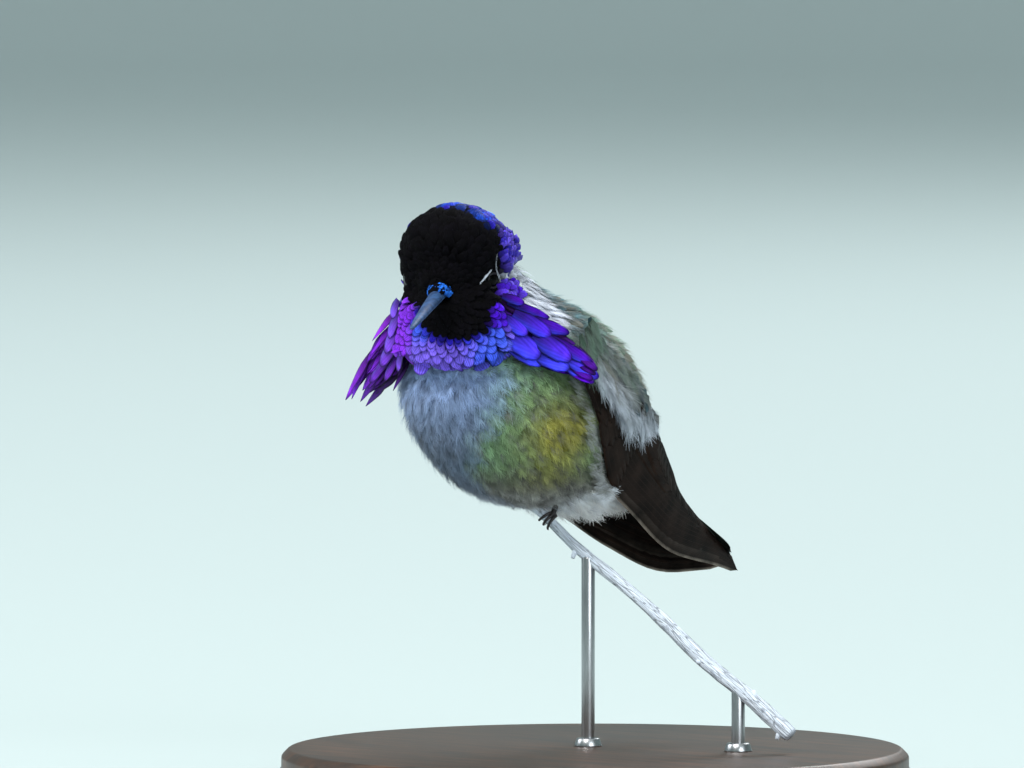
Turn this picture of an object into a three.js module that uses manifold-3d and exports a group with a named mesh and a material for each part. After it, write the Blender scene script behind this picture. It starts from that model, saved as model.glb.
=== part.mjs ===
// A male hummingbird at rest on the end of a dry twig, life size, held up by a plain display stand.
// Everything is in millimetres. The group's origin is the middle of the stand's underside and +Z is up.
// In the bird's own group +X is its left, -Y is ahead of it, and the origin is where its feet grip the twig.
// The head has a group of its own, turned on the neck, with the same axes and its origin mid skull.
import * as THREE from "three";
import { mergeVertices } from "three/addons/utils/BufferGeometryUtils.js";
import Module from "manifold-3d";

const wasm = await Module();
wasm.setup();

// Driving dimensions.
const clearance = 0.3; // gap that touching pieces keep
const base = { radius: 38, height: 5, bevel: 0.8, socketDepth: 3 };
const feetHeight = 27.5; // the feet's grip above the top of the base
const baseCentre = { left: 9, back: 0 }; // the base's middle, seen from the feet
const headPlace = { left: 1, back: -16.3, up: 30.7, yaw: 30, pitchDown: 11.4, roll: 0 };
const billLength = 17.5; // past the feathers
const eyeRadius = 1.7;
const twigRadius = { tip: 0.5, cutEnd: 1 };
const rodRadius = 0.8;

const radians = THREE.MathUtils.degToRad;
const lateral = new THREE.Vector3(1, 0, 0);
const point = (x, y, z) => new THREE.Vector3(x, y, z);

// A closed solid with a rounded section that follows a spine. Each station gives the section's middle
// and its half width, its rise above the middle and its drop below it; bow arches a blade outwards.
// blunt sets how square the two ends are, and grow adds that much all round.
function solidAlong(stations, { around = 20, along = 14, blunt = 2, grow = 0, side, edge } = {}) {
  const spine = new THREE.CatmullRomCurve3(stations.map((s) => point(s.x ?? 0, s.y, s.z)));
  const sizes = new THREE.CatmullRomCurve3(stations.map((s) => point(s.wide, s.rise, s.drop ?? s.rise)));
  const bows = new THREE.CatmullRomCurve3(stations.map((s) => point(s.bow ?? 0, 0, 0)));
  const form = new THREE.SphereGeometry(1, around, along);
  const vertices = form.attributes.position;
  for (let i = 0; i < vertices.count; i++) {
    const unit = new THREE.Vector3().fromBufferAttribute(vertices, i);
    const t = THREE.MathUtils.clamp((1 - unit.y) / 2, 0, 1);
    const ring = Math.hypot(unit.x, unit.z) || 1;
    const across = -unit.x / ring; // the turned sphere's faces stay outwards
    const upward = unit.z / ring;
    const cap = Math.sqrt(Math.max(0, 1 - Math.abs(2 * t - 1) ** blunt));
    const tangent = spine.getTangent(t);
    const sideways = side ? side(t) : lateral.clone();
    const up = sideways.clone().cross(tangent).normalize();
    sideways.crossVectors(tangent, up).normalize();
    const size = sizes.getPoint(t);
    const wide = size.x * cap * (edge ? edge(t, across) : 1) + grow * (cap > 0 ? 1 : 0);
    const tall = (upward > 0 ? size.y : size.z) * cap + grow * (cap > 0 ? 1 : 0);
    const bow = bows.getPoint(t).x * (1 - across * across) * cap;
    const place = spine
      .getPoint(t)
      .addScaledVector(sideways, across * wide)
      .addScaledVector(up, upward * tall + bow)
      .addScaledVector(tangent, -unit.y * grow * (1 - cap));
    vertices.setXYZ(i, place.x, place.y, place.z);
  }
  return solidOf(form);
}

// A three.js geometry as a manifold-3d solid.
function solidOf(geometry) {
  const bare = geometry.clone();
  bare.deleteAttribute("normal");
  bare.deleteAttribute("uv");
  const merged = mergeVertices(bare, 1e-4);
  const mesh = new wasm.Mesh({
    numProp: 3,
    vertProperties: merged.attributes.position.array,
    triVerts: new Uint32Array(merged.index.array),
  });
  return new wasm.Manifold(mesh);
}

// A solid moved by a Matrix4.
const moved = (solid, matrix) => solid.transform(matrix.toArray());

// The largest of a solid's separate bodies: cuts can leave slivers beside it.
function largest(solid) {
  return solid.decompose().sort((a, b) => b.volume() - a.volume())[0];
}

function geometryOf(solid) {
  const mesh = solid.getMesh();
  const geometry = new THREE.BufferGeometry();
  geometry.setAttribute("position", new THREE.BufferAttribute(mesh.vertProperties, 3));
  geometry.setIndex(new THREE.BufferAttribute(mesh.triVerts, 1));
  geometry.computeVertexNormals();
  return geometry;
}

function tube(points, radii, options = {}) {
  const stations = points.map((p, i) => ({ x: p[0], y: p[1], z: p[2], wide: radii[i], rise: radii[i] }));
  return solidAlong(stations, { around: 8, along: 10, blunt: 8, ...options });
}

const finish = (colour, roughness, metalness = 0) =>
  new THREE.MeshStandardMaterial({ color: colour, roughness, metalness });
const finishes = {
  crown: finish("#15131c", 0.6),
  gorget: finish("#4a22c8", 0.4, 0.4),
  neck: finish("#8d8f86", 0.8),
  body: finish("#8c9a86", 0.85),
  flight: finish("#2c2422", 0.6),
  tail: finish("#1b1a1c", 0.6),
  bill: finish("#41535f", 0.4),
  eye: finish("#0b0908", 0.1),
  foot: finish("#1d1a1a", 0.6),
  bark: finish("#d9dde2", 0.9),
  stand: finish("#23211f", 0.5),
  rod: finish("#b9bbbd", 0.3, 1),
};

function node(name, solid, material) {
  const mesh = new THREE.Mesh(geometryOf(solid), material);
  mesh.name = name;
  return mesh;
}

// Trunk and neck are one form from the nape to the root of the tail, parted by a thin cut.
const bodyStations = [
  { y: -14.5, z: 32.5, wide: 6.6, rise: 7.4, drop: 6 },
  { y: -12, z: 26, wide: 8.2, rise: 8.6, drop: 9.6 },
  { y: -8.2, z: 19.8, wide: 11.2, rise: 10.6, drop: 14.8 },
  { y: -2.2, z: 14.6, wide: 12.5, rise: 12.2, drop: 14.5 },
  { y: 5, z: 10.5, wide: 11, rise: 11.6, drop: 11.4 },
  { y: 12, z: 6.6, wide: 7.4, rise: 7.6, drop: 8.8 },
  { y: 19, z: 2.5, wide: 4.6, rise: 3.4, drop: 3 },
];
const bodyForm = (grow = 0) => solidAlong(bodyStations, { around: 28, along: 22, blunt: 4, grow });

// The feathered head from the back of the skull to the root of the bill, in the head's own frame.
const headStations = [
  { y: -8.6, z: -1.9, wide: 2, rise: 1.8, drop: 1.5 },
  { y: -6, z: -1.3, wide: 4, rise: 4.6, drop: 3 },
  { y: -3.2, z: -0.4, wide: 6, rise: 6.6, drop: 4.2 },
  { y: 0.4, z: 0.2, wide: 6.8, rise: 7, drop: 5.4 },
  { y: 4.6, z: 0.2, wide: 7.6, rise: 6.6, drop: 5.6 },
  { y: 9.8, z: -0.4, wide: 7.8, rise: 5.6, drop: 5 },
];
const headForm = (grow = 0) => solidAlong(headStations, { around: 22, along: 15, blunt: 2.6, grow });

const headFrame = new THREE.Matrix4().compose(
  point(headPlace.left, headPlace.back, headPlace.up),
  new THREE.Quaternion().setFromEuler(
    new THREE.Euler(radians(headPlace.pitchDown), radians(headPlace.roll), radians(headPlace.yaw), "ZXY"),
  ),
  point(1, 1, 1),
);
const intoHead = headFrame.clone().invert();

// Bill: two long tapering halves that meet along the line of the mouth.
const billRoot = { y: -7, z: -1.75, turn: 1.8 }; // turn: degrees towards the bird's left
const billHalf = { wide: 1.15, upper: 1.05, lower: 0.75 };
function billForm(grow = 0) {
  const tipY = billRoot.y - billLength;
  const taper = [0.3, 0.4, 0.5, 0.66, 0.86, 1];
  const yAt = (i) => tipY + ((billRoot.y + 1.5 - tipY) * i) / (taper.length - 1);
  const stations = taper.map((share, i) => ({
    x: (billRoot.y - yAt(i)) * Math.tan(radians(billRoot.turn)),
    y: yAt(i),
    z: billRoot.z - 0.1 * (1 - i / (taper.length - 1)) ** 2,
    wide: billHalf.wide * share,
    rise: billHalf.upper * share,
    drop: billHalf.lower * share,
  }));
  return solidAlong(stations, { around: 12, along: 16, blunt: 8, grow });
}

const upperBox = new THREE.BoxGeometry(20, 60, 20).translate(0, -20, 10 + billRoot.z + 0.06);
const lowerBox = new THREE.BoxGeometry(20, 60, 20).translate(0, -20, -10 + billRoot.z - 0.06);

// Eyes sit in sockets at the side of the head, level with the bill.
const eyePlace = { out: 4.05, y: -1.2, z: -1.6 };
function eyeForm(hand, grow = 0) {
  const ball = new THREE.SphereGeometry(eyeRadius + grow, 14, 10);
  return solidOf(ball.translate(hand * eyePlace.out, eyePlace.y, eyePlace.z));
}

// Gorget: a bib that bulges under the bill, with a scalloped lower rim.
const bibStations = [
  { x: 0, y: -3.5, z: -0.5, wide: 5.6, rise: 5, drop: 5 },
  { x: 0.4, y: -3.2, z: -4, wide: 6.6, rise: 5.6, drop: 6.2 },
  { x: 0.8, y: -2.8, z: -8, wide: 8.4, rise: 6, drop: 6.8 },
  { x: 0.8, y: -2.5, z: -13, wide: 9.6, rise: 6, drop: 6.8 },
];
function bibOutline() {
  const rim = new THREE.Shape();
  const lowest = -11;
  const halfWide = 9.5;
  const lobes = 9;
  rim.moveTo(-6.6, -1.4);
  rim.lineTo(-halfWide, lowest + 1.5);
  for (let i = 0; i < lobes; i++) {
    const from = -halfWide + (2 * halfWide * i) / lobes;
    const to = from + (2 * halfWide) / lobes;
    const sag = lowest + 1.5 * Math.abs((from + to) / 2 / halfWide) ** 2;
    rim.quadraticCurveTo((from + to) / 2, sag - 1.3, to, sag);
  }
  rim.lineTo(halfWide, lowest + 1.5);
  rim.lineTo(6.6, -1.4);
  rim.closePath();
  return rim;
}
function bibForm(grow = 0) {
  const cape = solidAlong(bibStations, { around: 24, along: 12, blunt: 5, grow });
  const slab = { depth: 14, bevelEnabled: false, curveSegments: 4 };
  const prism = new THREE.ExtrudeGeometry(bibOutline(), slab);
  prism.rotateX(Math.PI / 2).translate(0, 1, 0);
  return cape.intersect(solidOf(prism));
}

// A flare of long feathers hangs from each side of the gorget.
const flareShapes = {
  left: {
    root: [5.2, -0.5, -4.6],
    bend: [10.6, -1.2, -9.6],
    tip: [16.5, 2.2, -14.4],
    facing: [0.35, -1, 0.1],
    wide: 2.6,
  },
  right: {
    root: [-4.8, -1, -5.4],
    bend: [-8.2, -1, -11.8],
    tip: [-13.3, 2.4, -17.2],
    facing: [-0.5, -1, 0.1],
    wide: 2.2,
  },
};
function flareForm({ root, bend, tip, facing, wide }, grow = 0) {
  const outward = point(...facing).normalize();
  const stations = [root, bend, tip].map(([x, y, z], i) => ({
    x,
    y,
    z,
    wide: [0.8, 1, 0.55][i] * wide,
    rise: 0.6,
    bow: 0.3,
  }));
  const path = new THREE.CatmullRomCurve3(stations.map((s) => point(s.x, s.y, s.z)));
  const side = (t) => path.getTangent(t).clone().cross(outward).normalize();
  return solidAlong(stations, { around: 12, along: 12, blunt: 2.4, side, grow });
}

// Wings: long sabre blades that hang from the shoulders, their tips together under the tail.
const wingEdges = {
  leading: [
    [11.9, -7.4, 18.6],
    [12.7, -2.7, 12],
    [9.6, 2.2, 4.2],
    [7.4, 8.2, -0.4],
    [5, 18, -6],
    [0.95, 33.8, -9.1],
  ],
  trailing: [
    [10.4, -2.6, 21.4],
    [11.2, 3, 16.4],
    [10.3, 8.4, 11],
    [8.4, 13.4, 5.6],
    [6, 19, 0.8],
    [1.25, 34, -7.7],
  ],
};
const rightWingLift = [0, 0, 0.5, 1.3, 0.4, -0.9]; // how far each place on it is above the left one
function wingForm(hand, grow = 0) {
  const lift = (i) => (hand > 0 ? 0 : rightWingLift[i]);
  const curveOf = (edge) =>
    new THREE.CatmullRomCurve3(edge.map(([x, y, z], i) => point(hand * x, y, z + lift(i))));
  const leading = curveOf(wingEdges.leading);
  const trailing = curveOf(wingEdges.trailing);
  const count = wingEdges.leading.length;
  const stations = wingEdges.leading.map((_, i) => {
    const t = i / (count - 1);
    const from = leading.getPoint(t);
    const to = trailing.getPoint(t);
    const middle = from.clone().lerp(to, 0.5);
    return { x: middle.x, y: middle.y, z: middle.z, wide: from.distanceTo(to) / 2, rise: 0.55, bow: 0.5 };
  });
  const side = (t) => leading.getPoint(t).sub(trailing.getPoint(t)).multiplyScalar(hand).normalize();
  return solidAlong(stations, { around: 16, along: 24, blunt: 6, side, grow });
}

// Tail: ten narrow feathers in a closed fan, notched at the end.
const tailShape = {
  length: 25,
  rootHalf: 2.6,
  tipHalf: 4.7,
  thick: 0.9,
  slope: 33,
  root: [0, 11.5, 6.6],
};
function tailForm(grow = 0) {
  const { length, rootHalf, tipHalf, thick } = tailShape;
  const outline = new THREE.Shape();
  const feathers = 6;
  outline.moveTo(-rootHalf, 0);
  outline.lineTo(-tipHalf, length * 0.86);
  for (let i = 0; i < feathers; i++) {
    const from = -tipHalf + (2 * tipHalf * i) / feathers;
    const to = from + (2 * tipHalf) / feathers;
    const middle = (from + to) / 2;
    const reach = length * (0.9 + 0.12 * (1 - (middle / tipHalf) ** 2));
    outline.quadraticCurveTo(middle, reach, to, length * (0.86 + 0.1 * (1 - (to / tipHalf) ** 2)));
  }
  outline.lineTo(rootHalf, 0);
  outline.closePath();
  const blade = new THREE.ExtrudeGeometry(outline, {
    depth: thick + 2 * grow,
    bevelEnabled: false,
    curveSegments: 4,
  });
  blade.translate(0, 0, -thick / 2 - grow);
  blade.rotateX(radians(-tailShape.slope)).translate(...tailShape.root);
  return solidOf(blade);
}

// Twig: from its tip under the belly, down and out to the cut end.
const twigRoute = [
  [-2.8, -2.3, 2.1],
  [0.5, -1.1, 0.8],
  [5.4, 0.7, -3.7],
  [11.2, 2.8, -8.2],
  [15.6, 4.4, -11.9],
  [20.9, 6.3, -16.8],
  [26.4, 8.3, -21.1],
  [31.4, 10.1, -25.4],
];
const twigRadii = twigRoute.map((_, i) =>
  THREE.MathUtils.lerp(twigRadius.tip, twigRadius.cutEnd, i / (twigRoute.length - 1)),
);
const twigLine = new THREE.CatmullRomCurve3(twigRoute.map((p) => point(...p)));

// Short stubs where side shoots broke off: how far along the twig, which way they point, and their length.
const stubs = [
  { share: 0.285, ahead: 0.6, up: -1, length: 0.8, radius: 0.4 },
  { share: 0.71, ahead: 1, up: -0.3, length: 0.35, radius: 0.6 },
  { share: 0.875, ahead: 0.2, up: 1, length: 0.6, radius: 0.4 },
  { share: 0.965, ahead: 0.5, up: -1, length: 0.7, radius: 0.4 },
];
function twigForm(grow = 0) {
  const stem = tube(twigRoute, twigRadii, { around: 9, along: 24, blunt: 30, grow });
  return stubs.reduce((whole, { share, ahead, up, length, radius }) => {
    const across = point(0, -ahead, up).normalize();
    const reach = THREE.MathUtils.lerp(twigRadius.tip, twigRadius.cutEnd, share) + length;
    const stub = new THREE.CylinderGeometry(radius * 0.6 + grow, radius + grow, reach + grow, 7);
    stub.translate(0, (reach + grow) / 2, 0);
    stub.applyQuaternion(new THREE.Quaternion().setFromUnitVectors(point(0, 1, 0), across));
    stub.translate(...twigLine.getPoint(share).toArray());
    return whole.add(solidOf(stub));
  }, stem);
}

// Feet: three toes ahead and one behind, curled round the twig, on a short shank up into the belly.
const toeRadius = 0.34;
function footForm(share, grow = 0) {
  const centre = twigLine.getPoint(share);
  const axis = twigLine.getTangent(share);
  const ahead = point(0, -1, 0).addScaledVector(axis, axis.y).normalize();
  const up = point(0, 0, 1).addScaledVector(axis, -axis.z).normalize();
  const wrap = THREE.MathUtils.lerp(twigRadius.tip, twigRadius.cutEnd, share) + toeRadius + 0.16;
  const toe = (spread, from, to) => {
    const bends = [0, 0.33, 0.66, 1].map((s) => {
      const angle = radians(THREE.MathUtils.lerp(from, to, s));
      const spot = centre
        .clone()
        .addScaledVector(up, Math.cos(angle) * wrap)
        .addScaledVector(ahead, Math.sin(angle) * wrap)
        .addScaledVector(axis, spread * (0.3 + 0.7 * s));
      return [spot.x, spot.y, spot.z];
    });
    const radii = [1, 1, 0.85, 0.6].map((taper) => taper * toeRadius);
    return tube(bends, radii, { around: 5, along: 6, grow });
  };
  const knee = centre.clone().addScaledVector(up, wrap - 0.1);
  const shank = tube(
    [
      [knee.x, knee.y, knee.z],
      [knee.x, knee.y + 1.2, knee.z + 2],
      [knee.x * 1.4, knee.y + 2.6, knee.z + 3.6],
    ],
    [0.42, 0.38, 0.5],
    { around: 6, along: 6, grow },
  );
  return shank
    .add(toe(0, -30, 150))
    .add(toe(-0.75, -30, 140))
    .add(toe(0.75, -30, 140))
    .add(toe(0, 30, -130));
}

// Stand: a flat round base and two rods that reach up to the twig.
const bird = new THREE.Group();
bird.position.set(-baseCentre.left, -baseCentre.back, base.height + feetHeight);
const outOfBird = new THREE.Matrix4().makeTranslation(bird.position);
const rodShares = [0.32, 0.82];
function rodForm(share, grow = 0) {
  const top = twigLine.getPoint(share).add(bird.position);
  const foot = base.height - base.socketDepth + clearance - grow;
  const length = top.z - foot;
  const rod = new THREE.CylinderGeometry(rodRadius + grow, rodRadius + grow, length, 16);
  rod.rotateX(Math.PI / 2).translate(top.x, top.y, foot + length / 2);
  return solidOf(rod);
}
function baseForm() {
  const { radius, height, bevel } = base;
  const profile = [
    [0, 0],
    [radius - bevel / 2, 0],
    [radius, bevel / 2],
    [radius, height - bevel],
    [radius - bevel, height],
    [0, height],
  ].map(([x, y]) => new THREE.Vector2(x, y));
  return solidOf(new THREE.LatheGeometry(profile, 40).rotateX(Math.PI / 2));
}

// Assembly: each piece is cut back from its neighbours by the clearance.
const model = new THREE.Group();
const head = new THREE.Group();
head.position.set(headPlace.left, headPlace.back, headPlace.up);
head.rotation.set(radians(headPlace.pitchDown), radians(headPlace.roll), radians(headPlace.yaw), "ZXY");

const twig = twigForm();
const twigGrown = twigForm(clearance);
const footShares = { right: 0.055, left: 0.19 };
const feet = Object.values(footShares).map((share) => footForm(share));
const feetGrown = Object.values(footShares).map((share) => footForm(share, clearance));

const cutHeight = 24.5;
const cutTilt = 40;
function halfSpace(above) {
  const side = above ? 1 : -1;
  const slab = new THREE.BoxGeometry(80, 80, 60).translate(0, 0, side * (30 + clearance / 2));
  return solidOf(slab.rotateX(radians(cutTilt)).translate(0, -9, cutHeight - 2.5));
}
const headInBird = moved(headForm(clearance), headFrame);
const bodySolid = bodyForm();
const trunk = largest(
  bodySolid
    .intersect(halfSpace(false))
    .subtract(headInBird)
    .subtract(twigGrown)
    .subtract(feetGrown[0])
    .subtract(feetGrown[1]),
);
const neck = largest(bodySolid.intersect(halfSpace(true)).subtract(headInBird));
const bodyGrown = bodyForm(clearance);
const bodyInHead = moved(bodyGrown, intoHead);

const bill = billForm();
const skull = largest(
  headForm().subtract(billForm(clearance)).subtract(eyeForm(1, 0.15)).subtract(eyeForm(-1, 0.15)),
);
const faceGrown = headForm(clearance)
  .add(billForm(clearance))
  .add(eyeForm(1, clearance))
  .add(eyeForm(-1, clearance));
const bib = largest(bibForm().subtract(faceGrown).subtract(bodyInHead));
const bibGrown = bibForm(clearance);
const flare = (hand) =>
  largest(flareForm(flareShapes[hand]).subtract(faceGrown).subtract(bibGrown).subtract(bodyInHead));
const tailGrown = tailForm(clearance);
const wing = (hand) => {
  const flareShape = hand > 0 ? flareShapes.left : flareShapes.right;
  const flareInBird = moved(flareForm(flareShape, clearance), headFrame);
  return largest(wingForm(hand).subtract(bodyGrown).subtract(tailGrown).subtract(flareInBird));
};
const tail = largest(tailForm().subtract(bodyGrown));

head.add(
  node("head", skull, finishes.crown),
  node("bill_upper", largest(bill.intersect(solidOf(upperBox))), finishes.bill),
  node("bill_lower", largest(bill.intersect(solidOf(lowerBox))), finishes.bill),
  node("eye_left", eyeForm(1), finishes.eye),
  node("eye_right", eyeForm(-1), finishes.eye),
  node("gorget", bib, finishes.gorget),
  node("gorget_flare_left", flare("left"), finishes.gorget),
  node("gorget_flare_right", flare("right"), finishes.gorget),
);
bird.add(
  head,
  node("neck", neck, finishes.neck),
  node("trunk", trunk, finishes.body),
  node("wing_left", wing(1), finishes.flight),
  node("wing_right", wing(-1), finishes.flight),
  node("tail", tail, finishes.tail),
  node("leg_right", feet[0], finishes.foot),
  node("leg_left", feet[1], finishes.foot),
  node("twig", twig, finishes.bark),
);
const twigAbove = moved(twigGrown, outOfBird);
rodShares.forEach((share, i) => {
  model.add(node(`stand_rod_${i + 1}`, largest(rodForm(share).subtract(twigAbove)), finishes.rod));
});
const plinth = rodShares.reduce((solid, share) => solid.subtract(rodForm(share, 0.15)), baseForm());
model.add(bird, node("stand_base", plinth, finishes.stand));

export default model;
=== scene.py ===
import math

import bmesh
import bpy
import numpy as np
from mathutils import Matrix, Quaternion, Vector, kdtree
from mathutils.bvhtree import BVHTree


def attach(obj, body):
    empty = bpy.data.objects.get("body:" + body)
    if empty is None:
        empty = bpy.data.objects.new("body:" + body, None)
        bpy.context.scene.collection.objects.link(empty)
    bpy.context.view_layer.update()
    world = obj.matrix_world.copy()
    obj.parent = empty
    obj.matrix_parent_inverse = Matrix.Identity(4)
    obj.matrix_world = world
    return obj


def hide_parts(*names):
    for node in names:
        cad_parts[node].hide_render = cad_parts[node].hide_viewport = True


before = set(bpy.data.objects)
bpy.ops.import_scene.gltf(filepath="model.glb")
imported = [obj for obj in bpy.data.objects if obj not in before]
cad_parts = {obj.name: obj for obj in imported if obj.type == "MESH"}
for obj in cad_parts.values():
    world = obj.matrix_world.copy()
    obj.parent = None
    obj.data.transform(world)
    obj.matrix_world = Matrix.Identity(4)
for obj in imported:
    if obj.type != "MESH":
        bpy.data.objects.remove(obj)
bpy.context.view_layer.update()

# A male hummingbird at rest on a dry twig over a display stand.
# Lengths in the dictionaries are millimetres unless a note says otherwise, and meshes are metres.
mm = 0.001
dice = np.random.default_rng(11)

# where the bird and its head are, as in the solids
pose = {
    "feet": (-9, 0, 32.5),  # the grip on the twig, origin of the bird's own axes: +X its left, -Y ahead
    "head": (1, -16.3, 30.7),  # middle of the skull, from the feet
    "yaw": 30,  # degrees, head turned to its left
    "pitch": 11.4,  # degrees, bill dipped
}
headYaw = Matrix.Rotation(math.radians(pose["yaw"]), 3, "Z")
headPitch = Matrix.Rotation(math.radians(pose["pitch"]), 3, "X")
headAxes = np.array(headYaw @ headPitch)
feetPlace = np.array(pose["feet"], float)
skullPlace = feetPlace + np.array(pose["head"], float)


def birdPoint(x, y, z):
    return Vector((feetPlace + (x, y, z)) * mm)


def headPoint(x, y, z):
    return Vector((skullPlace + headAxes @ np.array((x, y, z), float)) * mm)


def inBird(places):
    # places in metres, as rows, to the bird's own millimetres
    return np.asarray(places) / mm - feetPlace


def inHead(places):
    return (np.asarray(places) / mm - skullPlace) @ headAxes


def mirrored(places):
    # both sides of the bird laid over each other
    return np.column_stack([np.abs(places[:, 0]), places[:, 1:]])


def smooth(low, high, value):
    t = np.clip((value - low) / (high - low), 0, 1)
    return t * t * (3 - 2 * t)


def blob(places, centre, radii):
    away = (places - np.array(centre, float)) / np.array(radii, float)
    return np.exp(-(away**2).sum(axis=1))


def unit(vectors):
    return vectors / np.maximum(np.linalg.norm(vectors, axis=-1, keepdims=True), 1e-9)


def curveThrough(points):
    # a smooth curve through points, read at 0 to 1
    p = np.array(points, float)
    p = np.vstack([2 * p[0] - p[1], p, 2 * p[-1] - p[-2]])
    spans = len(points) - 1

    def at(t):
        t = np.clip(np.asarray(t, float), 0, 1) * spans
        i = np.minimum(t.astype(int), spans - 1)
        f = (t - i)[..., None]
        a, b, c, d = p[i], p[i + 1], p[i + 2], p[i + 3]
        curve = (2 * a - 5 * b + 4 * c - d) * f**2 + (3 * b - a - 3 * c + d) * f**3
        return 0.5 * (2 * b + (c - a) * f + curve)

    return at


def linear(code):
    # sRGB hex to linear RGB
    values = np.array([int(code[i : i + 2], 16) / 255 for i in (1, 3, 5)])
    return np.where(values <= 0.04045, values / 12.92, ((values + 0.055) / 1.055) ** 2.4)


def rgba(code):
    return (*linear(code), 1.0)


plumage = {
    "crown": "#040307",
    # a painted glint of the iridescent crown
    "crownGlint": "#2a62ff",
    # a painted glint on feathers beside the bill's root
    "loresGlint": "#2f80ff",
    "patch": "#7a60ff",
    "patchDeep": "#2a1fb0",
    "cheek": "#5216e0",
    "throat": "#040307",
    "throatDeep": "#2a1cc0",
    "rimBlue": "#4a66ff",
    "rimLilac": "#8a6cff",
    "flareDeep": "#6408e6",
    "flareBlue": "#4246ff",
    "flareMagenta": "#9830ff",
    # a dark violet: the left fan's own darker upper blades, and painted shade on the right fan's lower side
    "flareDarkAndShade": "#3a1060",
    "white": "#cfd5e2",
    "breast": "#90a8d2",
    # the lower breast's grey: partly its own colour, partly painted shade under light from above
    "breastGreyAndShade": "#5f6c7e",
    "streak": "#39434f",
    "flank": "#6a9161",
    "flankDeep": "#4a634e",
    "olive": "#86820c",
    "belly": "#6b675c",
    "bellyDark": "#3a3834",
    "vent": "#eef3fc",
    "nape": "#5c5a58",
    "backTeal": "#2c6070",
    "backGreen": "#527862",
    "backGrey": "#77786f",
    "scapular": "#b4bcc8",
    "wing": "#1a120f",
    "wingPale": "#38281f",
    "shaft": "#9a9085",
    "tail": "#121110",
    "tailGreen": "#22362c",
}
tint = {name: linear(code) for name, code in plumage.items()}

# the body's axis from nape to rump, and how far the spine sags from it
axisStart = np.array((0, -14.5, 32.5))
axisAlong = unit(np.array((0, 33.5, -30.0)))
axisUp = np.array((0, -axisAlong[2], axisAlong[1]))
axisLength = 45.0


def rollAngle(bird):
    # 0 on the belly's middle line, 90 at the side, 180 along the back
    along = (bird - axisStart) @ axisAlong
    sag = -5.4 * np.sin(math.pi * np.clip(along / axisLength, 0, 1) ** 0.8)
    height = (bird - axisStart) @ axisUp - sag
    return np.degrees(np.arctan2(np.abs(bird[:, 0]), -height)), along


def mix(colours, name, share):
    share = np.clip(share, 0, 1)[:, None]
    return colours * (1 - share) + tint[name] * share


def layered(base, layers):
    # colours laid over a base one, each with its share at every place
    colours = np.tile(tint[base], (len(layers[0][1]), 1))
    for name, share in layers:
        colours = mix(colours, name, share)
    return colours


def fromLine(places, start, end):
    # distance from a straight run
    start, end = np.array(start, float), np.array(end, float)
    run = np.clip(((places - start) @ (end - start)) / ((end - start) ** 2).sum(), 0, 1)
    return np.linalg.norm(places - start - run[:, None] * (end - start), axis=1)


# half widths of the pale breast to the bird's left and right, by height
breastEdge = {
    "height": [2, 5, 9, 14, 18, 25],
    "left": [0.4, 0.2, 2.5, 6.0, 7.0, 7.6],
    "right": [8, 9, 11, 11.4, 11, 10],
}
# the white stripe down the side of the neck and the grey one along the shoulder
neckStripe = ((4.4, -10.0, 28.6), (7.6, -7.3, 25.4))
shoulderStripes = (((10.6, -2.4, 21), (11, 3, 16.6)), ((11, 3, 16.6), (10.2, 8.6, 11)))


def breastShare(bird):
    left = np.interp(bird[:, 2], breastEdge["height"], breastEdge["left"])
    right = np.interp(bird[:, 2], breastEdge["height"], breastEdge["right"])
    wander = 0.4 * np.sin(bird[:, 2] * 2.1 + bird[:, 1]) + 0.4 * np.sin(bird[:, 2] * 5.3 + bird[:, 0] * 3)
    return smooth(1.7, -1.7, np.where(bird[:, 0] > 0, bird[:, 0] - left, -bird[:, 0] - right) + wander)


def stripeShare(bird):
    return smooth(2.9, 2.1, fromLine(mirrored(bird), *neckStripe))


def ventEdge(bird):
    # how high the white under the tail reaches
    return np.interp(bird[:, 1], [-1.4, 1.5, 4, 11, 18], [3.4, 4.6, 5.2, 5.2, 0.6])


def bodyColour(places):
    bird = inBird(places)
    height = bird[:, 2]
    twin = mirrored(bird)
    roll, along = rollAngle(bird)
    pale = breastShare(bird)
    edge = ventEdge(bird)
    below = smooth(edge + 0.7, edge - 0.5, height)
    underTail = smooth(-2, -0.4, bird[:, 1]) * smooth(110, 70, roll)
    back = smooth(96, 118, roll)
    return layered("flank", [
        ("flankDeep", 0.6 * smooth(60, 100, roll)),
        ("belly", 0.9 * smooth(10, 5, height)),
        ("vent", 0.3 * smooth(6.5, 3.5, height)),
        ("olive", 1.25 * blob(twin, (9.7, -8.2, 12.0), (4.4, 4.6, 4.2))),
        ("olive", 0.7 * blob(twin, (8.8, -8.0, 6.8), (3.4, 3.4, 3.0))),
        ("breast", pale),
        # darker grey towards the lower breast: partly its own colour, partly painted shade where less light
        # falls
        ("breastGreyAndShade", 0.9 * pale * smooth(20, 9, height)),
        ("vent", 0.5 * pale * smooth(6, 3, height) * smooth(-6, 0, bird[:, 0])),
        ("vent", below * np.maximum(underTail, smooth(2.7, 1.4, height))),
        ("backGrey", smooth(9, 11, bird[:, 1]) * (1 - below)),
        ("backGreen", back),
        ("backTeal", back * smooth(20, 12, along)),
        ("backGrey", back * (0.8 * smooth(18, 30, along) + 0.35 * smooth(155, 110, roll))),
        *(("scapular", 0.8 * smooth(3.6, 1.6, fromLine(twin, *stripe))) for stripe in shoulderStripes),
        ("nape", smooth(9, 5, along) * smooth(60, 90, roll)),
        ("white", stripeShare(bird)),
    ])


def markPlane(head):
    # the crown's and throat's markings are set out on a plane tilted a little from the head's own axes
    return np.column_stack([head @ (0.974, 0.224, -0.045), head @ (-0.012, 0.248, 0.968)])


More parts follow.
